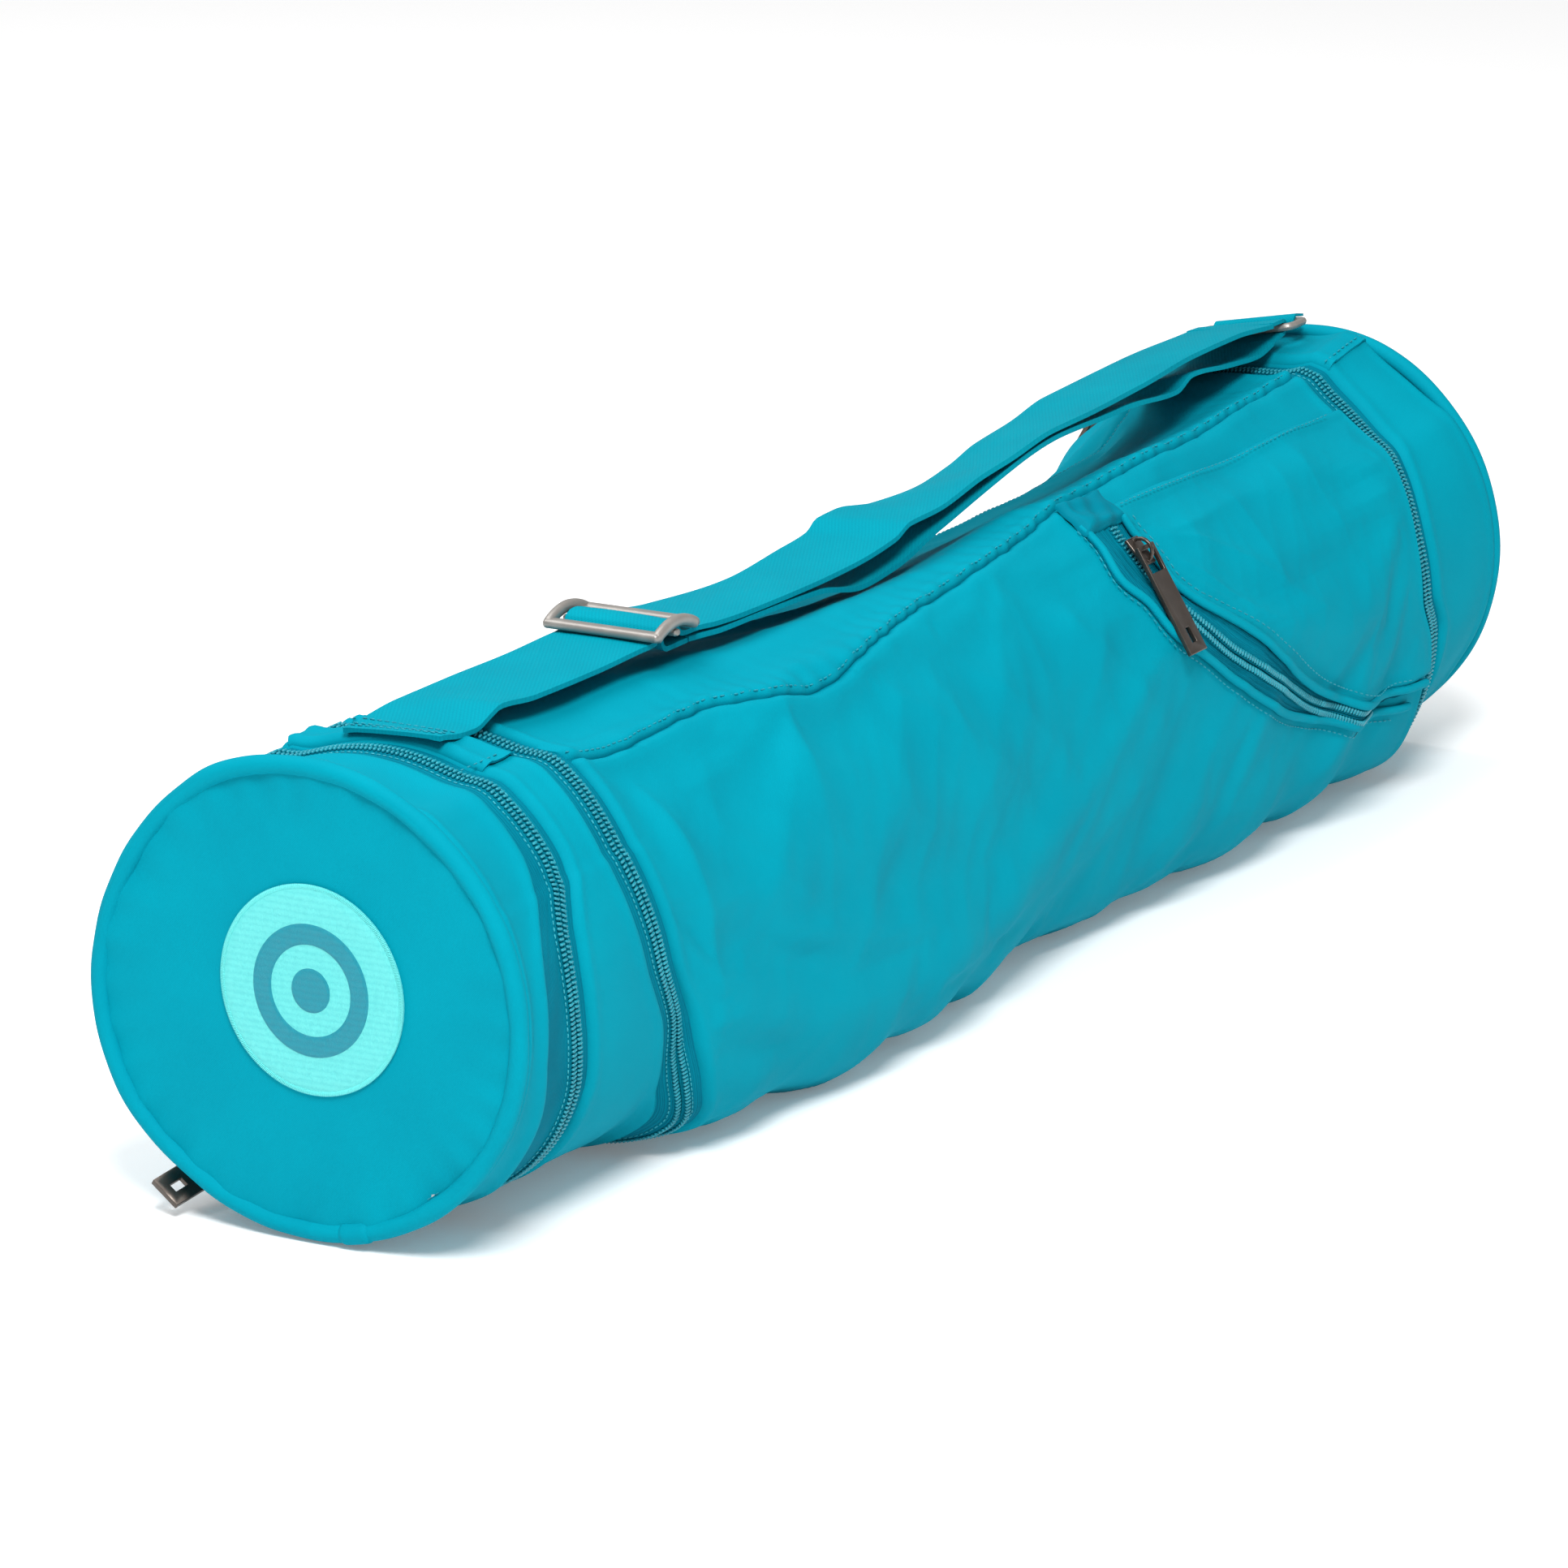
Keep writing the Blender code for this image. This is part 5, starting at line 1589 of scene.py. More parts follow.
@dataclass
class BagTube:
    """The long body between the two round zips: the main cloth and the top panel over it."""

    form: BagForm
    palette: Palette
    cloth: ClothMaker
    rows: int = 300
    columns: int = 300
    thickness: float = 0.0012

    def build(self) -> list[bpy.types.Object]:
        """Builds the body's cloths and seams and gives them to the bag."""
        body = self._body()
        panel = self._panel()
        front = self._front_stitches()
        back = self._back_stitches()
        for piece in (body, panel, front, back):
            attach(piece, "bag")
        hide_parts("body_fabric")
        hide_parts("top_panel")
        return [body, panel, front, back]

    def seam_deg(self, x: Array) -> Array:
        """The front seam's angle, with the small waver of gathered cloth."""
        waver = 0.16 * np.sin(x * 2 * math.pi / 0.021) + 0.10 * np.sin(x * 2 * math.pi / 0.013 + 1.0)
        return along_stations(PANEL_SEAM, x) + waver

    def _body(self) -> bpy.types.Object:
        """The main cloth, from the front seam round underneath to the back seam."""
        share = np.linspace(0.0, 1.0, self.rows)
        turn = np.concatenate([np.linspace(0.0, 0.03, 7)[:-1], np.linspace(0.03, 0.97, self.columns - 12),
                               np.linspace(0.97, 1.0, 7)[1:]])
        x, deg = self._grid(share, turn, lambda x: self.seam_deg(x) - 0.4,
                            lambda x: np.full_like(x, 360.0 + BACK_SEAM_DEG + 0.4))
        return self._solid("body_cloth", x, deg, 0.0, self.thickness)

    def _panel(self) -> bpy.types.Object:
        """The top panel, gathered a little along its seams."""
        share = np.linspace(0.0, 1.0, self.rows)
        turn = np.linspace(0.0, 1.0, 64)
        x, deg = self._grid(share, turn, lambda x: np.full_like(x, BACK_SEAM_DEG), self.seam_deg)
        front = np.radians(self.seam_deg(x) - deg) * 0.08
        gather = 0.0007 * np.exp(-front / 0.009) * np.sin(x * 2 * math.pi / 0.0105 + 2.0 * np.sin(x * 61.0))
        gather = gather * smooth_step(x, 0.13, 0.18)
        return self._solid("top_panel_cloth", x, deg, 0.0002 + gather, self.thickness)

    def _grid(self, share: Array, turn: Array, low: Callable[[Array], Array],
              high: Callable[[Array], Array]) -> tuple[Array, Array]:
        """Lengths and angles over the body between two lines of angle."""
        deg = np.zeros((len(share), len(turn)))
        for _ in range(4):
            turned = half_turn(deg)
            start = along_stations(LID_LINE, turned) + SIDE_TAPE
            end = along_stations(FAR_LINE, turned) - SIDE_TAPE
            x = start + share[:, None] * (end - start)
            first, last = low(x), high(x)
            deg = first + turn[None, :] * (last - first)
        return x, deg

    def _solid(self, name: str, x: Array, deg: Array, lift: Array | float,
               thickness: float) -> bpy.types.Object:
        """A sheet over these lengths and angles with its edges turned in."""
        turned = half_turn(deg)
        from_end = np.minimum(x - along_stations(LID_LINE, turned) - SIDE_TAPE,
                              along_stations(FAR_LINE, turned) - SIDE_TAPE - x)
        side = np.radians(np.minimum(deg - deg[:, :1], deg[:, -1:] - deg)) * 0.08
        height = lift + self.cloth.edge_height(from_end, 0.0010, 0.0014)
        tucked, proud = np.exp(-(side / 0.0012) ** 2), np.exp(-((side - 0.0036) / 0.0025) ** 2)
        height = height - 0.0022 * tucked + 0.0006 * proud
        outer = self.form.at(x, deg, height)
        inner = self.form.at(x, deg, height - thickness)
        cloth = np.stack([x, np.radians(deg) * 0.08], -1)
        return solid_sheet(name, outer, inner, cloth, self.palette.cloth)

    def _front_stitches(self) -> bpy.types.Object:
        """The seam's stitches along the panel's front edge."""
        x = np.linspace(0.0985, 0.6600, 900)
        return self.cloth.stitches("front_seam_stitches", x, self.seam_deg(x) - 1.9, 0.0007)

    def _back_stitches(self) -> bpy.types.Object:
        """The seam's stitches along the panel's back edge."""
        x = np.linspace(0.0930, 0.6580, 900)
        return self.cloth.stitches("back_seam_stitches", x, np.full_like(x, BACK_SEAM_DEG + 1.9), 0.0007)


POCKET_OUTER: Stations = ((27.0, 0.4475), (39.9, 0.4480), (50.2, 0.4452), (60.0, 0.4530), (69.7, 0.4600),
                          (77.3, 0.4765), (90.4, 0.5037), (101.9, 0.5354), (107.2, 0.5577), (111.5, 0.5830),
                          (114.5, 0.6020), (116.0, 0.6227), (117.5, 0.6560))
POCKET_INNER: Stations = ((27.0, 0.4750), (38.4, 0.4748), (47.3, 0.4758), (55.2, 0.4760), (62.9, 0.4815),
                          (75.3, 0.5050), (94.7, 0.5467), (103.4, 0.5740), (108.5, 0.5980), (110.9, 0.6190),
                          (112.0, 0.6560))
POCKET_TEETH: Stations = ((38.0, 0.4640), (52.0, 0.4650), (62.0, 0.4680), (74.4, 0.4845), (87.6, 0.5135),
                          (95.6, 0.5360), (104.1, 0.5610), (109.0, 0.5830), (112.5, 0.6050), (114.0, 0.6260))


@dataclass
class SidePocket:
    """The zipped pocket on the bag's side: its panel, curved zip, tapes and the tab at its top."""

    form: BagForm
    palette: Palette
    cloth: ClothMaker
    top_deg: float = 30.5
    low_deg: float = 111.6
    tab_start: float = 0.4460
    tab_end: float = 0.4765
    tab_turns: tuple[float, float] = (25.5, 37.0)

    def build(self) -> list[bpy.types.Object]:
        """Builds the pocket's pieces and gives them to the bag."""
        panel = self._panel()
        outer = self._tape("pocket_tape_outer", POCKET_OUTER, -1)
        inner = self._tape("pocket_tape_inner", POCKET_INNER, 1)
        coil = self._coil()
        tab = self._tab()
        edges = self._edges()
        stitches = self._stitches()
        pieces = [panel, outer, inner, coil, tab, *edges, *stitches]
        for piece in pieces:
            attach(piece, "bag")
        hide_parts("pocket_panel")
        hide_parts("pocket_zip_tape_outer")
        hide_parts("pocket_zip_tape_inner")
        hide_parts("pocket_zip_coil")
        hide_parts("pocket_tab")
        return pieces

    def _panel(self) -> bpy.types.Object:
        """The pocket's front cloth, from the zip to the far seam."""
        deg = np.linspace(self.top_deg, self.low_deg, 150)
        start = along_stations(POCKET_INNER, deg)
        end = along_stations(FAR_LINE, deg) - SIDE_TAPE + 0.0006
        share = np.linspace(0.0, 1.0, 170)
        x = start[None, :] + share[:, None] * (end - start)[None, :]
        grid = np.broadcast_to(deg[None, :], x.shape)
        near = x - start[None, :]
        top = np.radians(grid - self.top_deg) * 0.08
        bottom = np.radians(self.low_deg - grid) * 0.08
        far = end[None, :] - x
        from_edge = np.minimum(np.minimum(near, top), np.minimum(bottom, far + 0.004))
        rise = 0.0020 + 0.0016 * smooth_step(from_edge, 0.004, 0.022)
        height = rise + self.cloth.edge_height(from_edge, 0.0006, 0.0016) + self._folds(x, grid)
        outer = self.form.at(x, grid, height)
        inner = self.form.at(x, grid, height - 0.0012)
        return solid_sheet("pocket_cloth", outer, inner, np.stack([x, np.radians(grid) * 0.08], -1),
                           self.palette.cloth)

    def _folds(self, x: Array, deg: Array) -> Array:
        """The creases that fan out from the pocket's top corner."""
        across = x - 0.470
        down = np.radians(deg - 40.0) * 0.08
        distance = np.sqrt(across ** 2 + down ** 2)
        turn = np.arctan2(down, across)
        reach = smooth_step(distance, 0.015, 0.05) * (1.0 - smooth_step(distance, 0.10, 0.165))
        total = np.zeros_like(x)
        for middle, width, size in ((0.16, 0.07, 0.0013), (0.42, 0.06, 0.0016), (0.66, 0.05, 0.0012),
                                    (0.95, 0.07, 0.0011)):
            bend = middle + 0.10 * np.sin(distance * 38.0 + middle * 9.0)
            total = total + size * np.exp(-np.abs((turn - bend) / width) ** 1.5)
        soft = 0.0009 * np.sin(across * 62.0 + 2.4 * np.sin(down * 44.0)) * smooth_step(distance, 0.03, 0.08)
        return total * reach + soft

    def _tape(self, name: str, edge: Stations, side: int) -> bpy.types.Object:
        """One half of the zip's tape, from the coil to under the cloth's edge."""
        deg = np.linspace(37.0, 113.5, 150)
        middle = along_stations(POCKET_TEETH, deg) + side * 0.0006
        reach = along_stations(edge, deg) + side * 0.0015
        share = np.linspace(0.0, 1.0, 14)
        x = middle[None, :] + share[:, None] * (reach - middle)[None, :]
        grid = np.broadcast_to(deg[None, :], x.shape)
        ribs = 0.00035 * np.sin(share * 4 * 2 * math.pi)[:, None]
        lift = 0.0012 + ribs + 0.0009 * np.exp(-(share[:, None] / 0.16) ** 2)
        outer = self.form.at(x, grid, lift)
        inner = self.form.at(x, grid, lift - 0.0008)
        across = share[:, None] * np.abs(reach - middle)[None, :] * 0.8
        cloth = np.stack([across, np.radians(grid) * 0.08], -1)
        if side < 0:
            outer, inner, cloth = outer[::-1], inner[::-1], cloth[::-1]
        return solid_sheet(name, outer, inner, cloth, self.palette.tape)

    def _line(self, stations: Stations, low: float, high: float, shift: float, lift: float,
              pitch: float) -> tuple[Array, Array, Array]:
        """A line of points beside one of the pocket's curves.

        Args:
            stations: The curve.
            low: Its first angle.
            high: Its last angle.
            shift: How far to its far side, in metres.
            lift: How far outside the form.
            pitch: The points' distance.

        Returns:
            The points, the direction along them and the direction out.
        """
        deg = np.linspace(low, high, 400)
        x = along_stations(stations, deg)
        slope_x, slope_s = np.gradient(x), np.gradient(np.radians(deg) * 0.08)
        size = np.hypot(slope_x, slope_s)
        x = x + shift * slope_s / size
        turned = deg - np.degrees(shift * slope_x / size / 0.08)
        path = evenly(self.form.at(x, turned, lift), pitch)
        _, around = self.form.locate(path)
        return path, np.gradient(path, axis=0), self.form.out(around)

    def _coil(self) -> bpy.types.Object:
        """The two rows of the coil's turns."""
        rows = []
        for side in (-1, 1):
            path, ahead, outs = self._line(POCKET_TEETH, 38.0, 113.0, side * 0.00165, 0.0026, 0.0017)
            longs = np.cross(outs, unit(ahead)) + side * 0.12 * unit(ahead)
            rows.append(grains(f"pocket_coil_{'outer' if side < 0 else 'inner'}", path, longs, outs,
                               Bead(0.0014, 0.0006, 0.00075), self.palette.coil))
        return join("pocket_coil", rows)

    def _tab(self) -> bpy.types.Object:
        """The doubled square of cloth that closes the zip's top."""
        deg = np.linspace(*self.tab_turns, 36)
        x = np.linspace(self.tab_start, self.tab_end, 44)[:, None] + 0.0 * deg[None, :]
        grid = np.broadcast_to(deg[None, :], x.shape)
        side = np.radians(np.minimum(grid - deg[0], deg[-1] - grid)) * 0.08
        from_edge = np.minimum(np.minimum(x - x[:1], x[-1:] - x), side)
        crumple = 0.0005 * np.sin(x * 480.0 + grid * 0.5) + 0.0004 * np.sin(grid * 0.9 - x * 230.0)
        height = 0.0044 + crumple + self.cloth.edge_height(from_edge, 0.0005, 0.0022)
        outer = self.form.at(x, grid, height)
        inner = self.form.at(x, grid, height - 0.0014)
        return solid_sheet("pocket_tab_cloth", outer, inner, np.stack([x, np.radians(grid) * 0.08], -1),
                           self.palette.lining)

    def _edges(self) -> list[bpy.types.Object]:
        """The rolled cloth edges on both sides of the zip."""
        made = []
        for name, stations, low, high, lift in (("pocket_edge_outer", POCKET_OUTER, 34.0, 116.8, 0.0016),
                                                ("pocket_edge_inner", POCKET_INNER, 36.5, 111.8, 0.0034)):
            path, _, outs = self._line(stations, low, high, 0.0, lift, 0.0022)
            made.append(sweep(name, path, outs, Bar(0.0018, 0.0015, 10), self.palette.cloth))
        return made

    def _stitches(self) -> list[bpy.types.Object]:
        """The stitches beside each edge and across the panel's top."""
        made = []
        for name, stations, low, high, shift, lift in (
                ("pocket_stitches_outer", POCKET_OUTER, 35.0, 116.4, -0.0036, 0.0010),
                ("pocket_stitches_inner", POCKET_INNER, 38.0, 111.4, 0.0038, 0.0052)):
            path, ahead, outs = self._line(stations, low, high, shift, lift, 0.0032)
            made.append(grains(name, path, ahead, outs, Bead(0.00115, 0.0003, 0.00032), self.palette.thread))
        x = np.linspace(0.4800, 0.6480, 400)
        below_top = np.full_like(x, self.top_deg + 2.4)
        made.append(self.cloth.stitches("pocket_stitches_top", x, below_top, 0.0044))
        return made


UPPER_FRONT: Stations = ((0.0575, 0.1600), (0.0700, 0.1580), (0.0795, 0.1575), (0.0880, 0.1600),
                         (0.0950, 0.1620), (0.1170, 0.1600), (0.1580, 0.1595), (0.1860, 0.1600),
                         (0.2200, 0.1595), (0.2350, 0.1580), (0.2550, 0.1570), (0.3005, 0.1565),
                         (0.3260, 0.1570), (0.3590, 0.1600), (0.3700, 0.1635), (0.3890, 0.1640),
                         (0.4240, 0.1690), (0.4457, 0.1708), (0.4812, 0.1739), (0.5205, 0.1735),
                         (0.5629, 0.1738), (0.6031, 0.1751), (0.6500, 0.1740), (0.6931, 0.1708))
UPPER_BACK: Stations = ((0.0575, 0.1580), (0.0900, 0.1600), (0.1200, 0.1600), (0.1580, 0.1595),
                        (0.1900, 0.1600), (0.2150, 0.1600), (0.2500, 0.1560), (0.3050, 0.1525),
                        (0.3400, 0.1550), (0.3610, 0.1570), (0.3680, 0.1605), (0.3820, 0.1610),
                        (0.4075, 0.1575), (0.4404, 0.1560), (0.4692, 0.1583), (0.4901, 0.1617),
                        (0.5216, 0.1635), (0.5514, 0.1663), (0.6185, 0.1660), (0.6931, 0.1638))
LOWER_FRONT: Stations = ((0.2020, 0.1575), (0.2260, 0.1560), (0.2380, 0.1550), (0.2650, 0.1545),
                         (0.3050, 0.1530), (0.3360, 0.1480), (0.3600, 0.1500), (0.3910, 0.1570),
                         (0.4857, 0.1708), (0.5307, 0.1690), (0.5497, 0.1683), (0.5928, 0.1645),
                         (0.6066, 0.1680), (0.6439, 0.1640), (0.6703, 0.1620), (0.6931, 0.1655))
LOWER_DROP: Stations = ((0.2020, 0.0000), (0.2260, 0.0015), (0.3000, 0.0040), (0.4500, 0.0080),
                        (0.5500, 0.0120), (0.6200, 0.0130), (0.6600, 0.0110), (0.6931, 0.0070))
STRAP_DRIFT: Stations = ((0.0000, 0.0), (0.3600, 0.0), (0.4300, 0.0006), (0.4900, 0.0030), (0.5500, 0.0070),
                         (0.6200, 0.0120), (0.6600, 0.0148), (0.6931, 0.0160), (0.7200, 0.0160))

STRAP_STITCH = Bead(0.0011, 0.0003, 0.0003)


@dataclass
class ShoulderStrap:
    """The webbing strap: its sewn end, the run through the adjuster, and the doubled run to the ring."""

    form: BagForm
    palette: Palette
    width: float = 0.0380
    thickness: float = 0.0014
    clearance: float = 0.0016
    across: int = 17
    buckle_x: float = 0.2025
    ring_x: float = 0.6931
    ring_z: float = 0.1645
    ring_y: float = 0.0160
    ring_roll_deg: float = 11.0

    def build(self) -> list[bpy.types.Object]:
        """Builds the strap in stretches; the woven run, its loop and the stitches are fixed to their bodies,
        and the other stretches are left unattached.
        """
        made = [self._end(), self._near(), self._through(), *self._upper(), *self._lower(), self._ring_wrap()]
        made += [self._end_stitches(), self._loop_stitches()]
        return made

    def _surface(self, x: Array, y: Array) -> Array:
        """The height of the bag's cloth under these places."""
        deg = np.zeros_like(x)
        for _ in range(5):
            reach = self.form.reach_at(x, deg) + 0.002
            deg = np.degrees(np.arcsin(np.clip(-y / reach, -0.99, 0.99)))
        return self.form.at(x, deg, 0.0)[..., 2]

    def _edges(self, x: Array, lower: bool) -> tuple[Array, Array]:
        """The strap's front and back edges at these lengths.

        Args:
            x: Lengths from the near end.
            lower: Whether they are the lower layer's.

        Returns:
            The two edges' points.
        """
        drift = along_stations(STRAP_DRIFT, x)
        half = self.width / 2
        front_y, back_y = drift - half, drift + half
        above = 2 * self.clearance
        upper_front = np.maximum(along_stations(UPPER_FRONT, x), self._surface(x, front_y) + above)
        upper_back = np.maximum(along_stations(UPPER_BACK, x), self._surface(x, back_y) + above)
        gap = self.thickness + 0.0009
        if lower:
            front_z = along_stations(LOWER_FRONT, x)
            back_z = front_z - along_stations(LOWER_DROP, x)
            front_z = np.maximum(np.minimum(front_z, upper_front - gap),
                                 self._surface(x, front_y) + self.clearance * 0.8)
            back_z = np.maximum(np.minimum(back_z, upper_back - gap),
                                self._surface(x, back_y) + self.clearance * 0.8)
        else:
            floor = self.thickness + 0.0006
            front_z, back_z = upper_front, upper_back
            near = x < 0.196
            front_z = np.where(near, np.maximum(along_stations(UPPER_FRONT, x),
                                                self._surface(x, front_y) + floor), front_z)
            back_z = np.where(near, np.maximum(along_stations(UPPER_BACK, x),
                                               self._surface(x, back_y) + floor), back_z)
        front = np.stack([x - self.form.half_length, front_y, front_z], -1)
        back = np.stack([x - self.form.half_length, back_y, back_z], -1)
        return front, back

    def _ribbon(self, name: str, front: Array, back: Array, start: float = 0.0,
                finish: bpy.types.Material | None = None) -> bpy.types.Object:
        """A woven ribbon between two edges.

        Args:
            name: The piece's name.
            front: The front edge's points.
            back: The back edge's points.
            start: Its cloth map's first length, so that stretches match.
            finish: Its material, the webbing if none.

        Returns:
            The object.
        """
        share = np.linspace(0.0, 1.0, self.across)
        middle = front[:, None] * (1 - share[None, :, None]) + back[:, None] * share[None, :, None]
        ahead = unit(np.gradient(middle, axis=0))
        side = unit(back - front)[:, None]
        normal = unit(np.cross(ahead, np.broadcast_to(side, ahead.shape)))
        normal = normal * np.sign(normal[..., 2:3].mean() or 1.0)
        curl = -0.0006 * (np.abs(share - 0.5) * 2) ** 3
        edge = 0.00018 * (np.abs(share - 0.5) > 0.43)
        half = self.thickness / 2 + edge
        middle = middle + normal * curl[None, :, None]
        outer = middle + normal * half[None, :, None]
        inner = middle - normal * half[None, :, None]
        centre = middle[:, self.across // 2]
        gone = start + np.concatenate([[0.0], np.cumsum(np.linalg.norm(np.diff(centre, axis=0), axis=1))])
        cloth = np.stack(np.broadcast_arrays(share[None, :] * self.width, gone[:, None]), -1)
        return solid_sheet(name, outer, inner, cloth, finish or self.palette.webbing)

    def _stretch(self, name: str, low: float, high: float, lower: bool = False) -> bpy.types.Object:
        """A stretch of the strap between two lengths along the bag."""
        x = np.linspace(low, high, max(12, int((high - low) / 0.0025)))
        front, back = self._edges(x, lower)
        return self._ribbon(name, front, back, low)

    def _end(self) -> bpy.types.Object:
        """The sewn end, over the near lid's hinge."""
        piece = self._stretch("strap_sewn_end", 0.0575, 0.0960)
        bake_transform(piece)
        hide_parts("strap_end")
        return piece

    def _near(self) -> bpy.types.Object:
        """The run from the hinge to the adjuster."""
        piece = self._stretch("strap_near_run", 0.0960, 0.1860)
        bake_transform(piece)
        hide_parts("strap_near")
        return piece

    def _through(self) -> bpy.types.Object:
        """The strap woven over the adjuster's middle bar."""
        low, high = 0.1860, 0.2200
        ends_front, ends_back = self._edges(np.array([low, high]), False)
        centre = self.buckle_x
        path = np.array([(low, 0.0), (centre - 0.0125, 0.0), (centre - 0.0085, 0.0003),
                         (centre - 0.0066, 0.0022), (centre - 0.0052, 0.0044),
                         (centre - 0.0026, 0.0056), (centre, 0.0058),
                         (centre + 0.0026, 0.0056), (centre + 0.0052, 0.0044), (centre + 0.0066, 0.0022),
                         (centre + 0.0085, 0.0003), (centre + 0.0125, 0.0), (high, 0.0)])
        fine = np.linspace(0.0, len(path) - 1.0, 90)
        x = np.interp(fine, np.arange(len(path)), path[:, 0])
        rise = np.interp(fine, np.arange(len(path)), path[:, 1])
        kernel = np.hanning(9)[1:-1]
        rise = np.convolve(np.pad(rise, 3, mode="edge"), kernel / kernel.sum(), mode="valid")
        share = ((x - low) / (high - low))[:, None]
        edges = []
        for ends in (ends_front, ends_back):
            line = ends[0] * (1 - share) + ends[1] * share
            line[:, 0] = x - self.form.half_length
            line[:, 2] += rise
            edges.append(line)
        piece = self._ribbon("strap_woven_run", edges[0], edges[1], low)
        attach(piece, "adjuster")
        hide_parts("strap_through_buckle")
        return piece

    def _upper(self) -> list[bpy.types.Object]:
        """The top layer from the adjuster to the ring."""
        sliding = self._stretch("strap_upper_run", 0.2200, 0.6200)
        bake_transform(sliding)
        still = self._stretch("strap_upper_end", 0.6200, 0.6840)
        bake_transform(still)
        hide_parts("strap_upper")
        return [sliding, still]

    def _lower(self) -> list[bpy.types.Object]:
        """The layer that runs back under the top one to the adjuster's middle bar."""
        loop = self._loop()
        sliding = self._stretch("strap_lower_run", 0.2160, 0.6200, True)
        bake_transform(sliding)
        still = self._stretch("strap_lower_end", 0.6200, 0.6840, True)
        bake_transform(still)
        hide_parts("strap_lower")
        return [loop, sliding, still]

    def _loop(self) -> bpy.types.Object:
        """The sewn loop round the adjuster's middle bar."""
        x = np.array([0.2160])
        front, back = self._edges(x, True)
        level = float((front[0, 2] + back[0, 2]) / 2)
        top = float(self._edges(np.array([self.buckle_x]), False)[0][0, 2]) + 0.0034
        half = (top - level) / 2
        turn = np.linspace(-0.5 * math.pi, 0.55 * math.pi, 18)
        curve = [(0.2160, level), (0.2105, level), (0.2060, level)]
        curve += [(self.buckle_x - 0.0030 * math.cos(a), level + half + half * math.sin(a)) for a in turn]
        curve += [(self.buckle_x + 0.0026, top - 0.0006)]
        path = np.array(curve)
        inset = 0.0006
        front = np.stack([path[:, 0] - self.form.half_length, np.full(len(path), -self.width / 2 + inset),
                          path[:, 1]], -1)
        back = front + (0.0, self.width - 2 * inset, 0.0)
        piece = self._ribbon("strap_adjuster_loop", front, back, 0.2)
        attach(piece, "adjuster")
        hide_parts("strap_sewn_loop")
        return piece

    def _ring_wrap(self) -> bpy.types.Object:
        """The strap's turn round the ring's bar."""
        (upper_front, upper_back), (lower_front, lower_back) = self._edges(np.array([0.6840]), False), \
            self._edges(np.array([0.6840]), True)
        clear = 0.0016 + 0.0004 + self.thickness / 2
        roll = math.radians(self.ring_roll_deg)
        turn = np.linspace(0.0, math.pi, 19)
        edges = []
        for side, above, under in ((-1, upper_front[0], lower_front[0]), (1, upper_back[0], lower_back[0])):
            y = self.ring_y + side * self.width / 2 * math.cos(roll)
            z = self.ring_z - side * self.width / 2 * math.sin(roll)
            bend = np.stack([self.ring_x - self.form.half_length + clear * np.sin(turn),
                             np.full_like(turn, y), z + clear * np.cos(turn)], -1)
            head = above + (bend[0] - above) * np.array([0.0, 0.25, 0.5, 0.75])[:, None]
            tail = under + (bend[-1] - under) * np.array([0.75, 0.5, 0.25, 0.0])[:, None]
            edges.append(np.concatenate([head, bend, tail]))
        piece = self._wrap_ribbon("strap_ring_turn", edges[0], edges[1])
        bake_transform(piece)
        return piece

    def _wrap_ribbon(self, name: str, front: Array, back: Array) -> bpy.types.Object:
        """A ribbon that turns right over, whose outside stays outside."""
        share = np.linspace(0.0, 1.0, self.across)
        middle = front[:, None] * (1 - share[None, :, None]) + back[:, None] * share[None, :, None]
        ahead = unit(np.gradient(middle, axis=0))
        side = np.broadcast_to(unit(back - front)[:, None], ahead.shape)
        normal = unit(np.cross(ahead, side))
        half = self.thickness / 2
        outer, inner = middle + normal * half, middle - normal * half
        centre = middle[:, self.across // 2]
        gone = 0.684 + np.concatenate([[0.0], np.cumsum(np.linalg.norm(np.diff(centre, axis=0), axis=1))])
        cloth = np.stack(np.broadcast_arrays(share[None, :] * self.width, gone[:, None]), -1)
        return solid_sheet(name, outer, inner, cloth, self.palette.webbing)

    def _end_stitches(self) -> bpy.types.Object:
        """The bar of stitches across the sewn end."""
        centres = []
        for x in (0.0605, 0.0625, 0.0680):
            front, back = self._edges(np.array([x]), False)
            share = np.linspace(0.05, 0.95, 13)[:, None]
            centres.append(front * (1 - share) + back * share)
        path = np.concatenate(centres) + (0.0, 0.0, self.thickness / 2 + 0.0001)
        longs = np.tile((0.0, 1.0, 0.0), (len(path), 1))
        outs = np.tile((0.0, 0.0, 1.0), (len(path), 1))
        piece = grains("strap_end_stitches", path, longs, outs, STRAP_STITCH, self.palette.thread)
        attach(piece, "near_lid")
        return piece

    def _loop_stitches(self) -> bpy.types.Object:
        """The stitches that close the adjuster's loop."""
        front, back = self._edges(np.array([0.2290]), True)
        share = np.linspace(0.06, 0.94, 13)[:, None]
        path = front * (1 - share) + back * share + (0.0, 0.0, -self.thickness / 2 - 0.0001)
        longs = np.tile((0.0, 1.0, 0.0), (len(path), 1))
        outs = np.tile((0.0, 0.0, -1.0), (len(path), 1))
        piece = grains("strap_loop_stitches", path, longs, outs, STRAP_STITCH, self.palette.thread)
        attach(piece, "adjuster")
        return piece


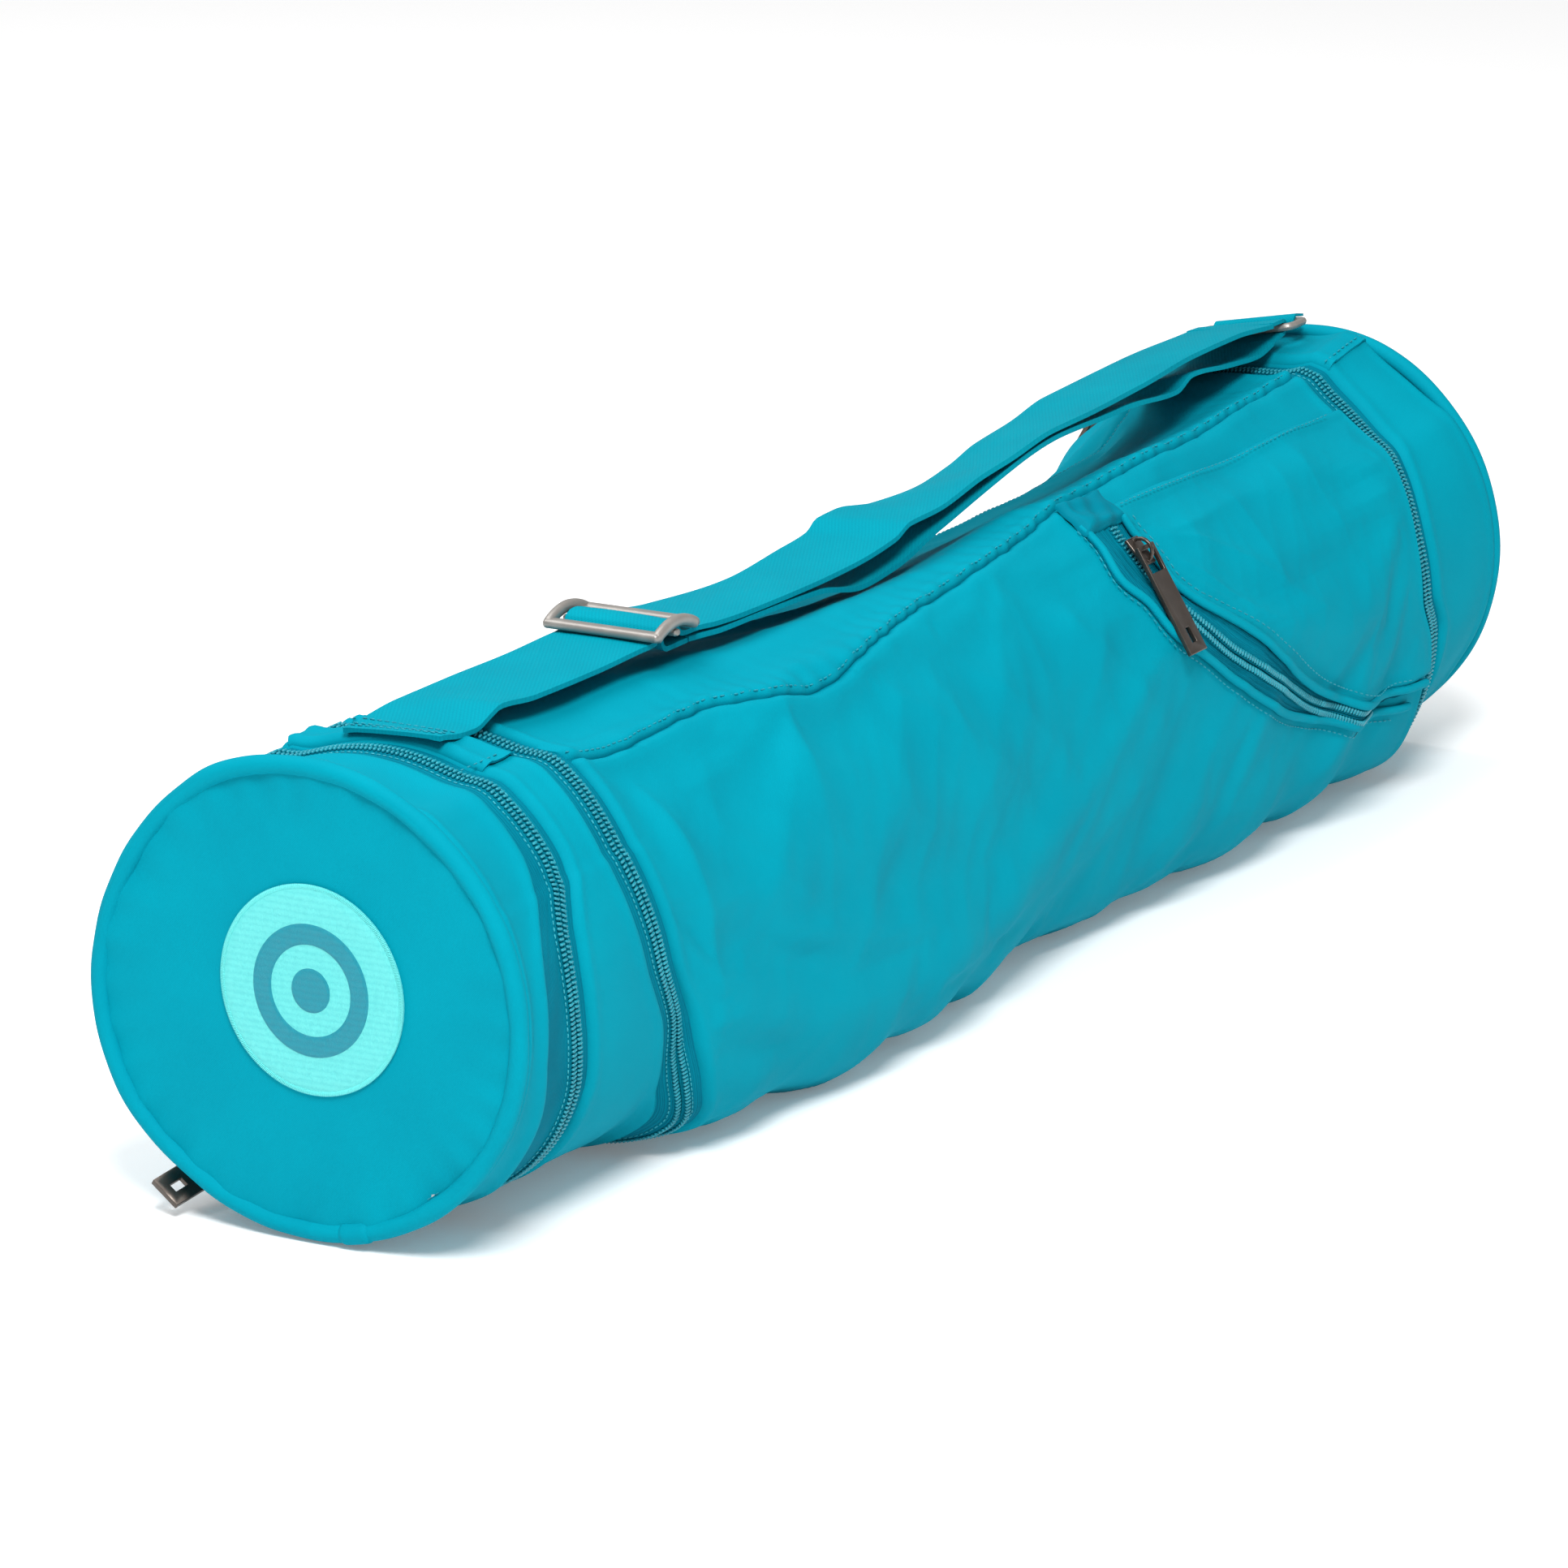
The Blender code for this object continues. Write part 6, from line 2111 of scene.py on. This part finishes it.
@dataclass
class Hardware:
    """The metal pieces: the three-bar adjuster, the ring with its tab, and the four zip sliders and pulls."""

    form: BagForm
    palette: Palette
    strap: ShoulderStrap
    buckle_width: float = 0.0470
    bar_x: tuple[float, float, float] = (0.1905, 0.2025, 0.2145)
    zips: tuple[str, ...] = ("extension", "lid", "far", "pocket")

    def build(self) -> list[bpy.types.Object]:
        """Builds the metal pieces and gives them to their bodies."""
        made = [self._adjuster(), self._ring(), self._ring_tab()]
        for name in self.zips:
            made += self._slider(name)
        return made

    def _adjuster(self) -> bpy.types.Object:
        """The moulded three-bar adjuster, its side rails bowed over the webbing."""
        base = float(self.strap._edges(np.array([self.strap.buckle_x]), False)[0][0, 2])
        half = self.buckle_width / 2 - 0.0017
        y = np.linspace(-half, half, 24)
        parts = []
        heights = (base + 0.0030, base + 0.0021, base + 0.0030)
        sizes = (Bar(0.0027, 0.0017, 16, 3.0), Bar(0.0019, 0.0013, 14, 2.6), Bar(0.0027, 0.0017, 16, 3.0))
        for index, (x, z, bar) in enumerate(zip(self.bar_x, heights, sizes)):
            path = np.stack([np.full_like(y, x - self.form.half_length), y, np.full_like(y, z)], -1)
            parts.append(sweep(f"adjuster_bar_{index}", path, np.tile((0.0, 0.0, 1.0), (len(y), 1)), bar,
                               self.palette.grey))
        x = np.linspace(self.bar_x[0], self.bar_x[2], 28)
        share = (x - x[0]) / (x[-1] - x[0])
        bow = 0.0032 * np.sin(math.pi * share) ** 0.8
        for side in (-1, 1):
            path = np.stack([x - self.form.half_length, np.full_like(x, side * half), base + 0.0030 + bow], -1)
            parts.append(sweep(f"adjuster_rail_{side}", path, np.tile((0.0, 0.0, 1.0), (len(x), 1)),
                               Bar(0.0017, 0.0020, 16, 3.0), self.palette.grey))
        piece = self._union("three_bar_adjuster", parts)
        dress(piece, self.palette.grey)
        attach(piece, "adjuster")
        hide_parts("tri_glide")
        return piece

    @staticmethod
    def _union(name: str, parts: Sequence[bpy.types.Object]) -> bpy.types.Object:
        """Joins overlapping solids into one skin."""
        base = parts[0]
        for other in parts[1:]:
            cut = base.modifiers.new("join", "BOOLEAN")
            cut.operation = "UNION"
            cut.object = other
            cut.solver = "EXACT"
            apply_modifiers(base)
        for other in parts[1:]:
            bpy.data.objects.remove(other)
        base.name = name
        soften(base.data, 50.0)
        return base

    def _ring(self) -> bpy.types.Object:
        """The wire ring at the strap's far end."""
        ring = rounded_copy("strap_ring", "strap_wire_ring", 0.0002, self.palette.grey)
        smooth = ring.modifiers.new("smooth", "SUBSURF")
        smooth.levels = smooth.render_levels = 1
        apply_modifiers(ring)
        soften(ring.data, 80.0)
        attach(ring, "strap_ring")
        return ring

    def _ring_tab(self) -> bpy.types.Object:
        """The webbing tab folded round the ring's far bar."""
        strap = self.strap
        roll = math.radians(strap.ring_roll_deg)
        bar_x, clear = 0.7069, 0.0016 + 0.0004 + 0.0006
        turn = np.linspace(0.0, math.pi, 17)
        half = 0.0180
        edges = []
        for side in (-1, 1):
            y = strap.ring_y + side * half * math.cos(roll)
            z = strap.ring_z - side * half * math.sin(roll)
            bend = np.stack([bar_x - self.form.half_length - clear * np.sin(turn), np.full_like(turn, y),
                             z + clear * np.cos(turn)], -1)
            reach = np.linspace(0.7125, bar_x, 5)[:-1] - self.form.half_length
            over = np.stack([reach, np.full_like(reach, y),
                             np.linspace(z + clear * 0.55, z + clear, 5)[:-1]], -1)
            under = np.stack([reach, np.full_like(reach, y),
                              np.linspace(z - clear * 0.55, z - clear, 5)[:-1]], -1)
            edges.append(np.concatenate([over, bend, under[::-1]]))
        thin = ShoulderStrap(self.form, self.palette, 2 * half, 0.0010)
        tab = thin._wrap_ribbon("ring_tab_webbing", edges[0], edges[1])
        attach(tab, "far_lid")
        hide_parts("ring_tab")
        return tab

    def _slider(self, name: str) -> list[bpy.types.Object]:
        """One zip's slider and its pull."""
        slider = rounded_copy(f"{name}_slider", f"{name}_slider_shell", 0.0005, self.palette.gunmetal)
        pull = rounded_copy(f"{name}_pull", f"{name}_pull_plate", 0.00042, self.palette.gunmetal)
        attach(slider, f"{name}_slider")
        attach(pull, f"{name}_pull")
        return [slider, pull]


class Light(Enum):
    """The studio's soft lamps."""

    KEY = "key"
    FILL = "fill"
    TOP = "top"


@dataclass(frozen=True)
class Lamp:
    """One soft lamp: its place, its target, its side in metres and its power in watts."""

    kind: Light
    place: tuple[float, float, float]
    target: tuple[float, float, float]
    size: float
    power: float


@dataclass
class Studio:
    """The pale floor, the soft lamps and the camera."""

    palette: Palette
    camera_place: tuple[float, float, float] = (-2.56063, -1.48124, 0.90392)
    camera_right: tuple[float, float, float] = (0.50544, -0.86280, -0.01034)
    camera_up: tuple[float, float, float] = (0.24012, 0.12913, 0.96211)
    camera_back: tuple[float, float, float] = (-0.82878, -0.48877, 0.27245)
    lens: float = 195.65
    lamps: tuple[Lamp, ...] = (
        Lamp(Light.KEY, (-1.5, -1.0, 2.2), (0.0, 0.0, 0.08), 1.0, 74.0),
        Lamp(Light.FILL, (0.9, -2.0, 1.1), (0.0, 0.0, 0.08), 2.2, 1.0),
        Lamp(Light.TOP, (-0.2, 0.9, 2.2), (0.0, 0.0, 0.08), 2.0, 34.0),
    )
    world: float = 0.45

    def build(self) -> None:
        """Sets the floor, the lamps, the surroundings and the camera."""
        self._floor()
        for lamp in self.lamps:
            self._lamp(lamp)
        self._surroundings()
        self._camera()
        bpy.context.scene.view_settings.view_transform = "Standard"

    def _floor(self) -> None:
        """A wide pale floor under the bag."""
        size, level = 14.0, -0.0006
        corners = np.array([(-size, -size), (size, -size), (size, size), (-size, size)])
        points = np.concatenate([np.c_[corners, np.full(4, level)], np.c_[corners, np.full(4, level - 0.02)]])
        faces = [[0, 1, 2, 3], [7, 6, 5, 4]] + [[i, i + 4, (i + 1) % 4 + 4, (i + 1) % 4] for i in range(4)]
        make_piece("studio_floor", points, faces, self.palette.floor, None, 30.0)

    @staticmethod
    def _lamp(lamp: Lamp) -> None:
        """Hangs one soft lamp."""
        data = bpy.data.lights.new(f"{lamp.kind.value}_lamp", "AREA")
        data.shape = "DISK"
        data.size = lamp.size
        data.energy = lamp.power
        obj = bpy.data.objects.new(data.name, data)
        bpy.context.scene.collection.objects.link(obj)
        place = Vector(lamp.place)
        aim = (Vector(lamp.target) - place).to_track_quat("-Z", "Y")
        obj.matrix_world = Matrix.Translation(place) @ aim.to_matrix().to_4x4()

    def _surroundings(self) -> None:
        """Even white light from all round."""
        world = bpy.data.worlds.new("studio_world")
        world.use_nodes = True
        background = world.node_tree.nodes["Background"]
        background.inputs["Color"].default_value = (1.0, 1.0, 1.0, 1.0)
        background.inputs["Strength"].default_value = self.world
        bpy.context.scene.world = world

    def _camera(self) -> None:
        """Sets the camera that the bag is seen through."""
        data = bpy.data.cameras.new("bag_camera")
        data.lens = self.lens
        data.sensor_width = 36.0
        data.clip_end = 100.0
        camera = bpy.data.objects.new("bag_camera", data)
        bpy.context.scene.collection.objects.link(camera)
        turned = Matrix((self.camera_right, self.camera_up, self.camera_back)).transposed().to_4x4()
        camera.matrix_world = Matrix.Translation(self.camera_place) @ turned
        bpy.context.scene.camera = camera


CREASES: tuple[Crease, ...] = (
    Crease((0.120, 44.0), (0.132, 118.0), 0.007, 0.0042),
    Crease((0.150, 62.0), (0.215, 108.0), 0.011, 0.0030),
    Crease((0.205, 55.0), (0.300, 98.0), 0.013, 0.0034),
    Crease((0.270, 48.0), (0.350, 92.0), 0.011, 0.0030),
    Crease((0.330, 50.0), (0.395, 104.0), 0.012, 0.0028),
    Crease((0.395, 46.0), (0.455, 98.0), 0.010, 0.0026),
    Crease((0.240, 100.0), (0.330, 128.0), 0.011, 0.0026),
    Crease((0.420, 102.0), (0.520, 126.0), 0.011, 0.0026),
    Crease((0.180, -60.0), (0.290, -110.0), 0.012, 0.0030),
    Crease((0.330, -64.0), (0.430, -112.0), 0.012, 0.0030),
    Crease((0.470, -58.0), (0.560, -116.0), 0.011, 0.0028),
)


class CadDresser:
    """Gives the CAD nodes that stay in view their finishes."""

    def __init__(self, palette: Palette) -> None:
        """Keeps the palette."""
        self.palette = palette

    def build(self) -> None:
        """Dresses the boards and linings inside both ends."""
        for node in ("near_board", "far_board"):
            dress(bpy.data.objects[node], self.palette.board)
        for node in ("near_lining", "far_lining"):
            dress(bpy.data.objects[node], self.palette.board_lining)


def stand_in_for_zips() -> None:
    """Hides the CAD zip tapes and coils that the zip pieces stand in for."""
    pairs = (("extension", "near_cap", "extension_zip", "cap"),
             ("extension", "near_lid", "extension_zip", "lid"),
             ("lid", "near_lid", "lid_zip", "lid"), ("lid", "bag", "lid_zip", "body"),
             ("far", "bag", "far_zip", "body"), ("far", "far_lid", "far_zip", "lid"))
    for ring, body, node, half in pairs:
        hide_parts(f"{node}_tape_{half}")
        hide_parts(f"{node}_coil_{half}")


def main() -> None:
    """Builds the bag, piece by piece, and the studio round it."""
    logging.basicConfig(level=logging.INFO, format="%(name)s: %(message)s")
    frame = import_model()
    palette = Palette()
    form = BagForm()
    form.folds = Drape(CREASES)
    ClothSettler(form).settle()
    cloth = ClothMaker(form, palette)
    zips = {
        # The extension zip's near tape is widened low on the front as painted shade.
        "extension": ZipLine("extension_zip", EXTENSION_LINE, "near_cap", "near_lid", CAP_TAPE_AND_SHADE_REACH),
        "lid": ZipLine("lid_zip", LID_LINE, "near_lid", "bag"),
        "far": ZipLine("far_zip", FAR_LINE, "bag", "far_lid"),
    }
    rings = {name: ZipRing(spec, form, palette).build() for name, spec in zips.items()}
    stand_in_for_zips()
    strap = ShoulderStrap(form, palette)
    for maker in (NearCap(form, palette, cloth), NearLid(form, palette, cloth), BagTube(form, palette, cloth),
                  FarLid(form, palette, cloth), SidePocket(form, palette, cloth), strap,
                  Hardware(form, palette, strap)):
        pieces = maker.build()
        LOG.info("%s has %d pieces", type(maker).__name__, len(pieces))
    CadDresser(palette).build()
    Studio(palette).build()


if __name__ == "__main__":
    main()
